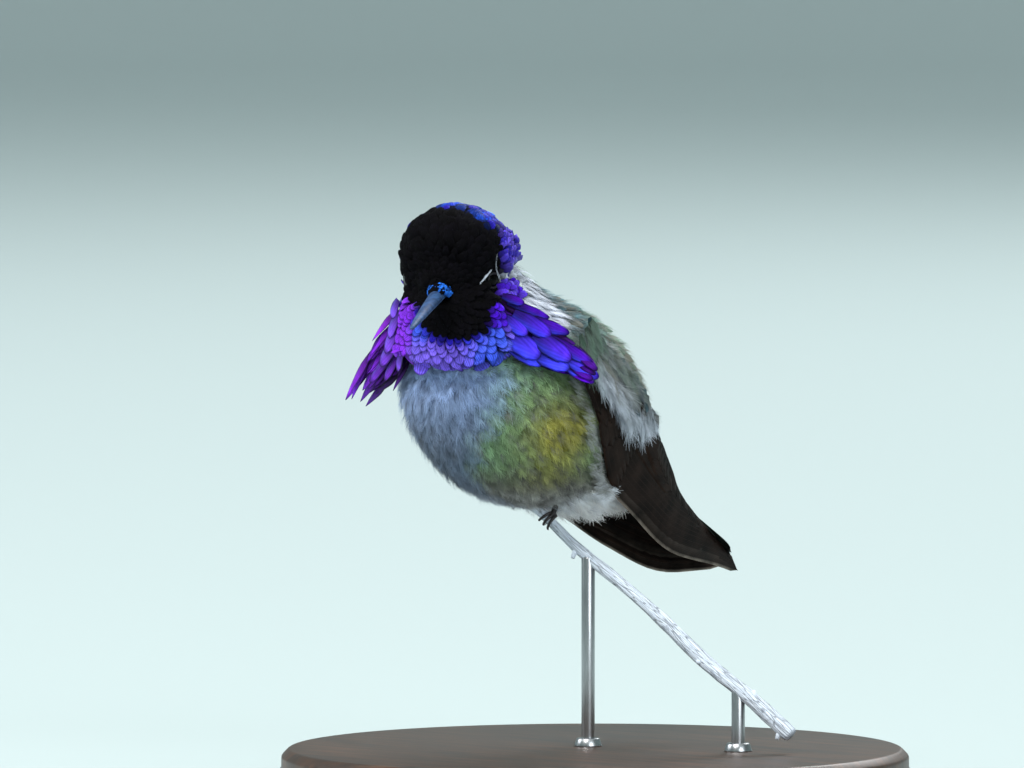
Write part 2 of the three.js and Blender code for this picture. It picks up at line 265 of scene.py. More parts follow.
def headColour(places):
    head = inHead(places)
    marks = markPlane(head)
    side, ahead, height = np.abs(head[:, 0]), head[:, 1], head[:, 2]
    # painted glint: blue where the crown turns away behind its top, the iridescent flash painted on; violet
    # behind the eyes
    edge = np.interp(height, [-3, -1, 0.6, 2.5, 4.2, 7], [0.4, -0.9, -1.7, -0.8, 0.8, 1.1])
    behind = ahead - edge - 2.4 * smooth(0.5, -2, head[:, 0])
    glintShare = 2.2 * blob(marks, (4.0, 5.0), (1.2, 0.9)) + 2.0 * blob(marks, (-0.4, 6.4), (1.4, 0.5))
    patch = 1.6 * blob(mirrored(head), (7.0, 2.4, 0.6), (3, 3.4, 2.6))
    band = smooth(-0.4, 0.4, behind) * smooth(-0.5, -1.2, height)
    return layered("crown", [
        ("crownGlint", np.maximum(glintShare, smooth(1.2, 2.4, behind) * smooth(3.4, 4.4, height))),
        ("patchDeep", smooth(0.0, 0.7, behind) * smooth(3.2, 2.5, height)),
        ("patch", patch * smooth(-0.1, 0.4, behind)),
        ("white", band * smooth(4.6, 5.4, side) * smooth(6, 4.5, ahead)),
        ("cheek", smooth(-2.9, -3.6, height) * smooth(4.4, 5.6, side) * smooth(2.2, 1, ahead)),
        ("nape", smooth(7.0, 8.5, ahead) * smooth(4.5, 1.5, height)),
        ("nape", smooth(4.5, 6.5, ahead) * smooth(-0.6, -2.2, height)),
        ("white", stripeShare(inBird(places))),
    ])


# middles and radii of the bluest parts of the gorget's rim, on the plane of the markings
rimBlues = (((4.6, -10.8), (2.6, 2.2)), ((5.1, -8.6), (1.3, 1.5)), ((-3.7, -8.1), (0.7, 1.2)))


def gorgetColour(places):
    marks = markPlane(inHead(places))
    across, over = marks[:, 0], marks[:, 1]
    away = np.hypot((across - 0.4) / 4.6, (over + 6.3) / 2.65)
    rim = 1.3 * smooth(1.0, 1.15, away)
    return layered("throat", [
        ("throatDeep", smooth(0.95, 1.1, away)),
        ("rimLilac", smooth(1.12, 1.4, away)),
        *(("rimBlue", rim * blob(marks, middle, radii)) for middle, radii in rimBlues),
        ("throat", 1.6 * blob(marks, (-3.4, -3.8), (1.2, 2.0))),
        ("cheek", smooth(4.1, 5.0, across) * smooth(-8.4, -6.6, over)),
        ("flareMagenta", 0.9 * smooth(-4.5, -5.3, across)),
    ])


def coatColour(places):
    colours = np.where(isHead(places)[:, None], headColour(places), bodyColour(places))
    return np.where(isGorget(places)[:, None], gorgetColour(places), colours)


def link(tree, node, links):
    # a link from a node comes from its first output
    for key, source in links.items():
        output = source.outputs[0] if isinstance(source, bpy.types.Node) else source
        tree.links.new(output, node.inputs[key])


def addNode(tree, kind, settings=None, links=None):
    # a node with its settings, by property or by input, and its incoming links
    node = tree.nodes.new("ShaderNode" + kind)
    for key, value in (settings or {}).items():
        if isinstance(key, str) and hasattr(node, key):
            setattr(node, key, value)
        else:
            node.inputs[key].default_value = value
    link(tree, node, links or {})
    return node


def newMaterial(name, settings):
    material = bpy.data.materials.new(name)
    material.use_nodes = True
    tree = material.node_tree
    shader = tree.nodes["Principled BSDF"]
    for key, value in settings.items():
        shader.inputs[key].default_value = value
    return material, tree, shader


# settings of a Mix node that darkens its colour, input 6, by input 7; its colour comes out at 2
darkening = {"data_type": "RGBA", "blend_type": "MULTIPLY", 0: 1.0}


def mottledPlume(tree, look, detail):
    # the feather's own colour, and a grey that mottles it from tuft to tuft
    plume = addNode(tree, "Attribute", {"attribute_name": "plume"})
    place = addNode(tree, "TexCoord").outputs["Object"]
    noise = {"Scale": 1 / (look["mottle"] * mm), "Detail": detail}
    mottle = addNode(tree, "TexNoise", noise, {"Vector": place})
    worn = {"From Min": 0.3, "From Max": 0.7, "To Min": 1 - look["wear"], "To Max": 1 + look["wear"]}
    return plume, addNode(tree, "MapRange", worn, {"Value": mottle})


def vaneMaterial(name, look):
    # Keratin vane: fine barbs fan from its root or slant off its shaft. They are really about 0.03 mm
    # apart, and are drawn some five times coarser so that they show.
    material, tree, shader = newMaterial(name, look["shader"])
    plume, worn = mottledPlume(tree, look, 3.0)
    vane = addNode(tree, "UVMap", {"uv_map": "vane"})
    split = addNode(tree, "SeparateXYZ", links={"Vector": vane})
    across, along = split.outputs["X"], split.outputs["Y"]
    centred = addNode(tree, "Math", {"operation": "SUBTRACT", 1: look["shaftAt"]}, {0: across})
    off = addNode(tree, "Math", {"operation": "ABSOLUTE"}, {0: centred})
    sideways = addNode(tree, "Math", {"operation": "MULTIPLY", 1: 2 * math.pi * look["across"]}, {0: off})
    phase = addNode(tree, "Math", {"operation": "MULTIPLY_ADD", 1: 2 * math.pi * look["along"]},
                    {0: along, 2: sideways})
    barb = addNode(tree, "Math", {"operation": "SINE"}, {0: phase})
    shade = addNode(tree, "MapRange", {"From Min": -1.0, "To Min": 1 - look["contrast"]}, {"Value": barb})
    # the margin, darkened with painted shade where the vane's edge lies over the dark gap beneath
    shades = [worn]
    for start, source in ((0.5, off), (1.0, along)):
        thin = {"From Min": start, "From Max": start - look["margin"], "To Min": look["marginShade"]}
        shades.append(addNode(tree, "MapRange", thin, {"Value": source}))
    for other in shades:
        shade = addNode(tree, "Math", {"operation": "MULTIPLY"}, {0: shade, 1: other})
    colour = addNode(tree, "Mix", darkening, {6: plume, 7: shade}).outputs[2]
    if "shaft" in look:
        line = addNode(tree, "Math", {"operation": "LESS_THAN", 1: look["shaftHalf"]}, {0: off})
        quill = {"data_type": "RGBA", 7: rgba(look["shaft"])}
        colour = addNode(tree, "Mix", quill, {0: line, 6: colour}).outputs[2]
    bump = addNode(tree, "Bump", {"Strength": look["relief"], "Distance": 0.03 * mm}, {"Height": barb})
    link(tree, shader, {"Base Color": colour, "Normal": bump})
    return material


def barbMaterial(name, look):
    # loose barbs are their own strips of mesh, so only the mottling between tufts is left to the shader
    material, tree, shader = newMaterial(name, look["shader"])
    plume, worn = mottledPlume(tree, look, 4.0)
    link(tree, shader, {"Base Color": addNode(tree, "Mix", darkening, {6: plume, 7: worn}).outputs[2]})
    return material


downBarbs = barbMaterial("DownyBarbs", {
    # loose white and grey barbs scatter the light, with no gloss to speak of
    "shader": {"Roughness": 0.9, "Specular IOR Level": 0.15, "Sheen Weight": 0.2, "Sheen Roughness": 0.6},
    "mottle": 1.6, "wear": 0.22})
greenBarbs = barbMaterial("GreenGlossBarbs", {
    # barbs of the back and flanks carry a faint oily sheen
    "shader": {"Roughness": 0.62, "Metallic": 0.15, "Specular IOR Level": 0.35},
    "mottle": 1.3, "wear": 0.28})
bodyVane = vaneMaterial("ContourFeatherVane", {
    # the close part of a body feather, seen between the loose barbs
    "shader": {"Roughness": 0.75, "Specular IOR Level": 0.25},
    "shaftAt": 0.5, "across": 7, "along": 3, "contrast": 0.3, "mottle": 1.4, "wear": 0.25, "relief": 0.4,
    "margin": 0.12, "marginShade": 0.7})
gemVane = vaneMaterial("IridescentGorgetVane", {
    # stacked platelets in the barbules throw back a metallic violet to blue
    "shader": {"Roughness": 0.45, "Metallic": 0.25, "Specular IOR Level": 0.07},
    "shaftAt": 0.5, "across": 7, "along": 0.8, "contrast": 0.45, "mottle": 0.9, "wear": 0.2, "relief": 0.5,
    "margin": 0.15, "marginShade": 0.05})
flareVane = vaneMaterial("IridescentFlareVane", {
    # as the gorget, in longer feathers whose barbs slant from the shaft
    "shader": {"Roughness": 0.42, "Metallic": 0.25, "Specular IOR Level": 0.07},
    "shaftAt": 0.5, "across": 5, "along": 2, "contrast": 0.22, "mottle": 1.2, "wear": 0.2, "relief": 0.4,
    "margin": 0.16, "marginShade": 0.03})
crownVane = vaneMaterial("VelvetCrownVane", {
    # the same platelets seen off their angle: a deep velvet that gives back almost nothing
    "shader": {"Roughness": 0.85, "Specular IOR Level": 0.06},
    "shaftAt": 0.5, "across": 6, "along": 1, "contrast": 0.35, "mottle": 0.8, "wear": 0.4, "relief": 0.3,
    "margin": 0.12, "marginShade": 0.4})
flightVaneMaterial = vaneMaterial("FlightFeatherVane", {
    # stiff close vane with a low purple-brown sheen, over a pale quill
    "shader": {"Roughness": 0.6, "Specular IOR Level": 0.06},
    "shaftAt": 0.27, "across": -9, "along": 60, "contrast": 0.1, "mottle": 2.4, "wear": 0.6, "relief": 0.15,
    "margin": 0.05, "marginShade": 0.55, "shaft": "#261d19", "shaftHalf": 0.01})
tailVaneMaterial = vaneMaterial("TailFeatherVane", {
    # as the flight feathers, blacker, glossed green near the base
    "shader": {"Roughness": 0.55, "Specular IOR Level": 0.08},
    "shaftAt": 0.5, "across": -9, "along": 50, "contrast": 0.14, "mottle": 2.4, "wear": 0.35, "relief": 0.25,
    "margin": 0.03, "marginShade": 0.8, "shaft": "#2e2a27", "shaftHalf": 0.02})


def skinMaterial():
    # Bare skin under the coat: the same markings, darkened by the shade between feathers.
    material, tree, shader = newMaterial("FeatherBaseSkin", {"Roughness": 0.95, "Specular IOR Level": 0.1})
    plume = addNode(tree, "Attribute", {"attribute_name": "plume"})
    place = addNode(tree, "TexCoord").outputs["Object"]
    grain = addNode(tree, "TexNoise", {"Scale": 1 / (0.5 * mm), "Detail": 4.0}, {"Vector": place})
    shade = addNode(tree, "MapRange", {"To Min": 0.35, "To Max": 0.75}, {"Value": grain})
    colour = addNode(tree, "Mix", darkening, {6: plume, 7: shade}).outputs[2]
    bump = addNode(tree, "Bump", {"Strength": 0.6, "Distance": 0.1 * mm}, {"Height": grain})
    link(tree, shader, {"Base Color": colour, "Normal": bump})
    return material


def addRamp(tree, source, stops):
    # a grey turned to colours: each stop is its place and its hex code
    ramp = addNode(tree, "ValToRGB", links={"Fac": source})
    elements = ramp.color_ramp.elements
    while len(elements) < len(stops):
        elements.new(0.5)
    for element, (at, code) in zip(elements, stops):
        element.position = at
        element.color = rgba(code)
    return ramp


def noisyMaterial(name, look):
    # a plain surface with two tones mixed by noise stretched along one way, and the same noise as relief
    material, tree, shader = newMaterial(name, look["shader"])
    place = addNode(tree, "TexCoord").outputs["Object"]
    stretch = {"Scale": tuple(1 / (s * mm) for s in look["grain"]), "Rotation": look.get("turn", (0, 0, 0))}
    mapped = addNode(tree, "Mapping", stretch, {"Vector": place})
    noise = {"Scale": 1.0, "Detail": look.get("detail", 5.0), "Roughness": look.get("rough", 0.6)}
    grain = addNode(tree, "TexNoise", noise, {"Vector": mapped})
    relief = {"Strength": look["relief"], "Distance": look["depth"] * mm}
    bump = addNode(tree, "Bump", relief, {"Height": grain})
    link(tree, shader, {"Base Color": addRamp(tree, grain, look["stops"]), "Normal": bump})
    return material


billHorn = noisyMaterial("SlateBillHorn", {
    # keratin sheath: satin, slate blue, with fine lengthwise growth lines
    "shader": {"Roughness": 0.55, "IOR": 1.5},
    "grain": (0.5, 2.5, 0.5), "turn": (0, 0, -math.radians(pose["yaw"])),
    "stops": [(0.3, "#14294a"), (0.52, "#25446f"), (0.75, "#3c6294")], "relief": 0.25, "depth": 0.03})
footSkin = noisyMaterial("ScaledFootSkin", {
    # small horny scales, near black
    "shader": {"Roughness": 0.5, "IOR": 1.5},
    "grain": (0.12, 0.12, 0.2), "stops": [(0.3, "#0d0b0b"), (0.7, "#2c2726")], "relief": 0.5, "depth": 0.03})
clawHorn = noisyMaterial("ClawHorn", {
    # smooth hooked horn, worn to a low gloss
    "shader": {"Roughness": 0.3, "IOR": 1.55},
    "grain": (0.1, 0.3, 0.3), "stops": [(0.3, "#0b0a0a"), (0.8, "#2a2422")], "relief": 0.2, "depth": 0.01})
lidSkin = noisyMaterial("EyelidSkin", {
    # fine wrinkled rim round the eye
    "shader": {"Roughness": 0.6, "IOR": 1.45},
    "grain": (0.15, 0.15, 0.15), "stops": [(0.3, "#08070a"), (0.8, "#1f1c24")], "relief": 0.5, "depth": 0.03})
standWood = noisyMaterial("StainedWalnut", {
    # turned hardwood, stained dark and waxed; pores about 0.3 mm wide run along the grain
    "shader": {"Roughness": 0.42, "IOR": 1.5, "Coat Weight": 0.15, "Coat Roughness": 0.35},
    "grain": (14, 1.1, 3), "turn": (0, 0, 0.3), "detail": 8.0, "rough": 0.68,
    "stops": [(0.32, "#1c110b"), (0.5, "#3a2416"), (0.7, "#5b3a24")], "relief": 0.3, "depth": 0.05})
rodSteel = noisyMaterial("DrawnSteelRod", {
    # drawn steel wire, with fine lines along its length
    "shader": {"Metallic": 1.0, "Roughness": 0.3},
    "grain": (0.05, 0.05, 2.5), "stops": [(0.3, "#8f9193"), (0.7, "#bcbec0")], "relief": 0.12, "depth": 0.01})


def barkMaterial():
    # Weathered bark: bleached, with cracks that run along the twig, darkened with painted shade in their
    # depth, and grey lichen stains.
    look = {"Roughness": 0.85, "IOR": 1.45, "Specular IOR Level": 0.25}
    material, tree, shader = newMaterial("WeatheredBark", look)
    along = addNode(tree, "UVMap", {"uv_map": "bark"})
    stretched = addNode(tree, "Mapping", {"Scale": (9.0, 0.55, 1.0)}, {"Vector": along})
    fibre = addNode(tree, "TexNoise", {"Scale": 1.0, "Detail": 6.0, "Roughness": 0.65}, {"Vector": stretched})
    crackPlace = addNode(tree, "Mapping", {"Scale": (4.0, 0.35, 1.0)}, {"Vector": along})
    crack = addNode(tree, "TexVoronoi", {"feature": "DISTANCE_TO_EDGE", "Scale": 1.0}, {"Vector": crackPlace})
    place = addNode(tree, "TexCoord").outputs["Object"]
    patchy = {"Scale": 1 / (1.6 * mm), "Detail": 4.0, "Roughness": 0.7}
    spots = addNode(tree, "TexNoise", patchy, {"Vector": place})
    tones = addRamp(tree, fibre, [(0.3, "#a9b5c6"), (0.62, "#e8f0fa")])
    # painted shade: the cracks darkened
    cracks = addRamp(tree, crack, [(0.0, "#616165"), (0.09, "#ffffff")])
    stain = addRamp(tree, spots, [(0.3, "#6e7480"), (0.42, "#ffffff")])
    cracked = addNode(tree, "Mix", {**darkening, 0: 0.8}, {6: tones, 7: cracks}).outputs[2]
    stained = addNode(tree, "Mix", {**darkening, 0: 0.6}, {6: cracked, 7: stain}).outputs[2]
    bump = addNode(tree, "Bump", {"Strength": 0.7, "Distance": 0.08 * mm}, {"Height": cracks})
    fine = {"Strength": 0.5, "Distance": 0.05 * mm}
    fineBump = addNode(tree, "Bump", fine, {"Height": fibre, "Normal": bump})
    link(tree, shader, {"Base Color": stained, "Normal": fineBump})
    return material


def eyeMaterial():
    # Wet cornea over a dark brown iris and a black pupil.
    look = {"Roughness": 0.1, "IOR": 1.38, "Specular IOR Level": 0.12}
    material, tree, shader = newMaterial("WetDarkEye", look)
    link(tree, shader, {"Base Color": addNode(tree, "Attribute", {"attribute_name": "plume"})})
    return material


print("materials made")


def addPiece(name, mesh, material, replaced=()):
    piece = bpy.data.objects.new(name, mesh)
    bpy.context.scene.collection.objects.link(piece)
    mesh.materials.clear()
    mesh.materials.append(material)
    mesh.shade_smooth()
    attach(piece, "root")
    if replaced:
        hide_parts(*replaced)
    return piece


def addModifier(piece, kind, **settings):
    modifier = piece.modifiers.new(kind.lower(), kind)
    for key, value in settings.items():
        setattr(modifier, key, value)


def meshOf(name, bm, recalculated=True):
    if recalculated:
        bmesh.ops.recalc_face_normals(bm, faces=bm.faces)
    mesh = bpy.data.meshes.new(name)
    bm.to_mesh(mesh)
    bm.free()
    return mesh


def paint(mesh, colours):
    # the colour attribute that the feather and eye materials read
    layer = mesh.color_attributes.new("plume", "FLOAT_COLOR", "POINT")
    filled = np.column_stack([colours, np.ones(len(colours))])
    layer.data.foreach_set("color", filled.astype(np.float32).ravel())


def readVectors(items, key):
    values = np.empty(len(items) * 3, np.float32)
    items.foreach_get(key, values)
    return values.reshape(-1, 3).astype(float)


# eyes' places, which the skin and the face feathers keep clear of
eye = {
    "out": 4.05, "ahead": 1.2, "low": 1.6,  # the ball's centre from the skull's middle
    "radius": 1.7,
    "look": (1, -0.62, 0.08),  # sideways and a little ahead
    "long": 1.0, "tall": 0.86,  # half of the opening between the lids
    "rim": 1.05,  # half of the socket's opening in the skin
}
hands = (1, -1)  # the bird's left, then its right
eyeCentre, eyeLook, eyeUp, eyeBack = {}, {}, {}, {}
for hand in hands:
    eyeCentre[hand] = np.array(headPoint(hand * eye["out"], -eye["ahead"], -eye["low"]))
    eyeLook[hand] = headAxes @ unit(np.array(eye["look"]) * (hand, 1, 1))
    rise = headAxes @ np.array((0, 0.1, 1.0))
    eyeUp[hand] = unit(rise - eyeLook[hand] * (rise @ eyeLook[hand]))
    eyeBack[hand] = np.cross(eyeLook[hand], eyeUp[hand]) * -hand


def eyeView(places, hand):
    # where places lie seen along the eye's own look: height along it, and offset over the opening's half size
    away = (places - eyeCentre[hand]) / mm
    back, up = away @ eyeBack[hand], away @ eyeUp[hand]
    return away @ eyeLook[hand], np.hypot(back / eye["long"], up / eye["tall"]), np.hypot(back, up)


# the skin is one surface under the whole coat
skinSettings = {
    "nodes": ["head", "neck", "trunk", "gorget"],
    "grow": 0.28,  # closes the gaps between the solids
    "voxel": 0.36,
    "smoothing": 6,
    "headDepth": 0.8,  # how deep it lies under the feather tips
    "faceDepth": 0.3,
    "bodyDepth": 1.45,
}


def coatDepth(places):
    # thick over the body, thinner over the crown, least round the bill and eyes
    head = inHead(places)
    onHead = smooth(13, 8.5, np.linalg.norm(head * (1, 1, 0.9), axis=1))
    depth = skinSettings["bodyDepth"] + (skinSettings["headDepth"] - skinSettings["bodyDepth"]) * onHead
    face = smooth(4.6, 1.8, np.linalg.norm(head - (0, -8, -1.8), axis=1))
    for hand in hands:
        face = np.maximum(face, smooth(3.4, 1.9, np.linalg.norm(places - eyeCentre[hand], axis=1) / mm - 0.9))
    return depth + (skinSettings["faceDepth"] - depth) * face


def makeSkin():
    bm = bmesh.new()
    for name in skinSettings["nodes"]:
        bm.from_mesh(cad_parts[name].data)
    bmesh.ops.remove_doubles(bm, verts=bm.verts, dist=1e-7)
    rough = bpy.data.objects.new("roughSkin", meshOf("roughSkin", bm, False))
    bpy.context.scene.collection.objects.link(rough)
    addModifier(rough, "DISPLACE", strength=skinSettings["grow"] * mm, mid_level=0)
    addModifier(rough, "REMESH", mode="VOXEL", voxel_size=skinSettings["voxel"] * mm)
    addModifier(rough, "SMOOTH", iterations=skinSettings["smoothing"])
    mesh = bpy.data.meshes.new_from_object(rough.evaluated_get(bpy.context.evaluated_depsgraph_get()))
    bpy.data.objects.remove(rough)
    places, normals = readVectors(mesh.vertices, "co"), readVectors(mesh.vertex_normals, "vector")
    faces = [tuple(face.vertices) for face in mesh.polygons]
    outside = BVHTree.FromPolygons([Vector(p) for p in places], faces)
    depths = coatDepth(places)
    places = places - normals * ((depths + skinSettings["grow"]) * mm)[:, None]
    for i, place in enumerate(places):
        near, normal, _, gap = outside.find_nearest(Vector(place))
        if (Vector(place) - near).dot(normal) > 0 or gap < 0.4 * depths[i] * mm:
            places[i] = near - normal * (0.6 * depths[i] + skinSettings["grow"]) * mm
    # sockets: the skin dips to the rim of each eye
    for hand in hands:
        height, share, radial = eyeView(places, hand)
        rim = math.sqrt(eye["radius"] ** 2 - eye["rim"] ** 2) - 0.1
        dip = rim - 0.6 * smooth(1.0, 0.4, share) + 0.1 * np.clip(radial - 1.1, 0, 9)
        blend = smooth(3.2, 1.3, radial) * (height > dip)
        places = places + eyeLook[hand] * ((dip - height) * blend * mm)[:, None]
    mesh.vertices.foreach_set("co", places.astype(np.float32).ravel())
    mesh.update()
    mesh.name = "skin"
    return mesh


skinMesh = makeSkin()
skinPlaces = readVectors(skinMesh.vertices, "co")
skinNormals = readVectors(skinMesh.vertex_normals, "vector")
skinFaces = [tuple(face.vertices) for face in skinMesh.polygons]
skinTree = BVHTree.FromPolygons([Vector(p) for p in skinPlaces], skinFaces)
skinFaceNormals = np.array([skinNormals[list(face)].mean(axis=0) for face in skinFaces])
print("skin made", len(skinFaces), "faces")


def ontoSkin(places):
    # the nearest places on the skin and their outward ways
    near, index = [], []
    for place in places:
        spot, _, face, _ = skinTree.find_nearest(Vector(place))
        near.append(spot)
        index.append(face)
    return np.array(near), unit(skinFaceNormals[index])


# feather shapes, each one unit long and one wide
def readShape(bm):
    # a template as arrays: places, faces, and its own 0 to 1 layout
    bm.verts.index_update()
    layout = bm.verts.layers.float_vector["layout"]
    shape = {
        "places": np.array([v.co[:] for v in bm.verts]),
        "layout": np.array([v[layout][:2] for v in bm.verts]),
        "faces": [[v.index for v in f.verts] for f in bm.faces],
    }
    bm.free()
    return shape


def vaneShape(columns, rows, outline, cup=0.12, curl=0.05, tip=0.45):
    # a leaf: outline(t) is its half width from 0 at the root to 1 at the tip
    bm = bmesh.new()
    layout = bm.verts.layers.float_vector.new("layout")
    bmesh.ops.create_grid(bm, x_segments=columns, y_segments=rows, size=0.5)
    for v in bm.verts:
        a, t = v.co.x * 2, v.co.y + 0.5
        v[layout] = Vector((a / 2 + 0.5, t, 0))
        fall = tip * (1 - math.sqrt(max(0.0, 1 - a * a)))
        v.co = Vector((a / 2 * outline(t), t - fall * t * t, cup * (1 - a * a) * outline(t) - curl * t * t))
    return readShape(bm)


def plumeShape(pairs, spread, width, segments, loose, seed):
    # a loose feather: barbs leave the shaft in pairs and run to a rounded outline
    lots = np.random.default_rng(seed)
    bm = bmesh.new()
    layout = bm.verts.layers.float_vector.new("layout")
    for i in range(pairs * 2 + 1):
        side = (0, -1, 1)[0 if i == pairs * 2 else 1 + i % 2]
        step = (i // 2 + 0.5) / pairs
        start = 0.05 + 0.5 * step if side else 0
        end = (0.5 + 0.5 * step + lots.uniform(-0.07, 0.05)) if side else 1.0
        rounded = math.sqrt(max(0.02, 1 - max(0, (end - 0.4) / 0.66) ** 2))
        reach = side * spread * 0.5 * rounded * lots.uniform(0.8, 1.15)
        rise, sway = lots.uniform(-0.2, 1) * loose, lots.uniform(-0.05, 0.05)
        strip = bmesh.ops.create_grid(bm, x_segments=1, y_segments=segments, size=0.5)["verts"]
        for v in strip:
            a, t = v.co.x * 2, v.co.y + 0.5
            y = start + (end - start) * t
            v[layout] = Vector((0.5 + 0.5 * side * step * t, y, 0))
            half = width * (1 - 0.8 * t) * (0.5 if side else 0.35)
            v.co = Vector((reach * t**1.25 + sway * t * t + a * half, y, rise * t * t + 0.004 * i))
    return readShape(bm)


def roundTip(t):
    # narrow root, then broad all the way: the end row itself is an arc
    return (0.45 + 0.55 * min(1, t / 0.45)) * (1 - 0.12 * max(0, (t - 0.7) / 0.3) ** 2)


def bladeTip(t):
    # nearly parallel sides and a rounded end
    return (0.55 + 0.45 * min(1, t / 0.35)) * (1 - 0.35 * max(0, (t - 0.75) / 0.25) ** 2)


def pointTip(t):
    grow = 0.5 + 0.5 * min(1, t / 0.3)
    return grow * max(0.02, 1 - max(0, t - 0.4) / 0.6) ** 0.7


shapes = {
    "scale": vaneShape(6, 7, roundTip),
    "gem": vaneShape(8, 6, roundTip, cup=0.05, curl=0.03, tip=0.5),
    "smallScale": vaneShape(5, 4, roundTip, cup=0.1),
    "blade": vaneShape(8, 8, bladeTip, cup=0.05, tip=0.16),
    "spike": vaneShape(5, 9, pointTip, cup=0.08, tip=0.0),
    "plume": plumeShape(9, 0.95, 0.055, 2, 0.05, 3),
    "hair": plumeShape(5, 0.9, 0.04, 3, 0.12, 5),
    "down": plumeShape(8, 1.0, 0.05, 3, 0.22, 7),
    "wisp": plumeShape(2, 0.5, 0.12, 4, 0.1, 9),
}


def scatter(spacing, wanted, tries=90000):
    # evenly spaced roots on the skin where wanted(places) is true; spacing is mm, or a function of place
    skinMesh.calc_loop_triangles()
    corners = np.empty(len(skinMesh.loop_triangles) * 3, np.int32)
    skinMesh.loop_triangles.foreach_get("vertices", corners)
    corners = corners.reshape(-1, 3)
    corners = corners[wanted(skinPlaces[corners].mean(axis=1))]
    a, b, c = (skinPlaces[corners[:, i]] for i in range(3))
    area = np.linalg.norm(np.cross(b - a, c - a), axis=1) / 2
    pick = dice.choice(len(area), size=tries, p=area / area.sum())
    r1, r2 = np.sqrt(dice.random(tries)), dice.random(tries)
    weights = np.column_stack([1 - r1, r1 * (1 - r2), r1 * r2])
    tri = corners[pick]
    places = (skinPlaces[tri] * weights[:, :, None]).sum(axis=1)
    normals = unit((skinNormals[tri] * weights[:, :, None]).sum(axis=1))
    tree = kdtree.KDTree(len(places))
    for i, p in enumerate(places):
        tree.insert(p, i)
    tree.balance()
    gaps = spacing(places) if callable(spacing) else np.full(len(places), spacing)
    free = np.ones(len(places), bool)
    chosen = []
    for i in range(len(places)):
        if free[i]:
            chosen.append(i)
            for _, j, _ in tree.find_range(places[i], gaps[i] * mm):
                free[j] = False
    return places[chosen], normals[chosen]


def cylinderUnwrap(way):
    # equal-area cylinder, by the way that a place lies from the middle
    way = unit(way)
    return np.column_stack([np.arctan2(way[:, 0], way[:, 2]) / (2 * math.pi) + 0.5, (way[:, 1] + 1) / 2])


def headUnwrap(places):
    return cylinderUnwrap(inHead(places) * (1, 0.8, 1))


def bodyUnwrap(places):
    way = inBird(places) - (0, 0, 14)
    return cylinderUnwrap(np.column_stack([way[:, 0], way @ axisAlong * 0.6, way @ axisUp]))


billTurn = math.tan(math.radians(1.8))  # the bill points a little to the left of the skull
bakePatch = 0.003  # each feather's patch on the unwrap
stations = 6  # places along a feather where its middle line is worked out


def spines(spot, up, along, length, risen, follow, bend, sink):
    # each feather's middle line, upward way and sideways way, at even steps from its root to its tip
    lines = []
    for k in range(stations):
        t = k / (stations - 1)
        if k:
            spot = spot + along * (length / (stations - 1))[:, None]
            if follow:
                spot, up = ontoSkin(spot)
            else:
                up = unit(up + along * bend / (stations - 1))
            along = unit(along - up * (along * up).sum(axis=1)[:, None])
        lifted = risen * (1 - (1 - t) ** 2) if follow else 0
        lines.append((spot + up * (lifted - sink * mm * (1 - t)), up, np.cross(along, up)))
    return [np.array(line) for line in zip(*lines)]


def bentCopies(shape, lines, width):
    # where every vertex of every copy lies
    places = shape["places"]
    at = np.clip(places[:, 1], 0, 1) * (stations - 1)
    low = np.minimum(at.astype(int), stations - 2)
    part = (at - low)[:, None, None]
    middle, over, across = (line[low] * (1 - part) + line[low + 1] * part for line in lines)
    aside = across * places[:, 0][:, None, None] + over * places[:, 2][:, None, None]
    return (middle + aside * width[None, :, None]).transpose(1, 0, 2)


def joinedCopies(name, spots, loops, totals):
    # one mesh of all the copies: loops and totals are the faces of one
    count, n = spots.shape[:2]
    index = (np.array(loops)[None, :] + (np.arange(count) * n)[:, None]).ravel()
    totals = np.tile(totals, count)
    mesh = bpy.data.meshes.new(name)
    mesh.vertices.add(count * n)
    mesh.vertices.foreach_set("co", spots.astype(np.float32).ravel())
    mesh.loops.add(len(index))
    mesh.loops.foreach_set("vertex_index", index.astype(np.int32))
    mesh.polygons.add(len(totals))
    mesh.polygons.foreach_set("loop_start", (np.cumsum(totals) - totals).astype(np.int32))
    mesh.update(calc_edges=True)
    return mesh


def addLayout(mesh, name, places):
    mesh.uv_layers.new(name=name).data.foreach_set("uv", places.astype(np.float32).ravel())


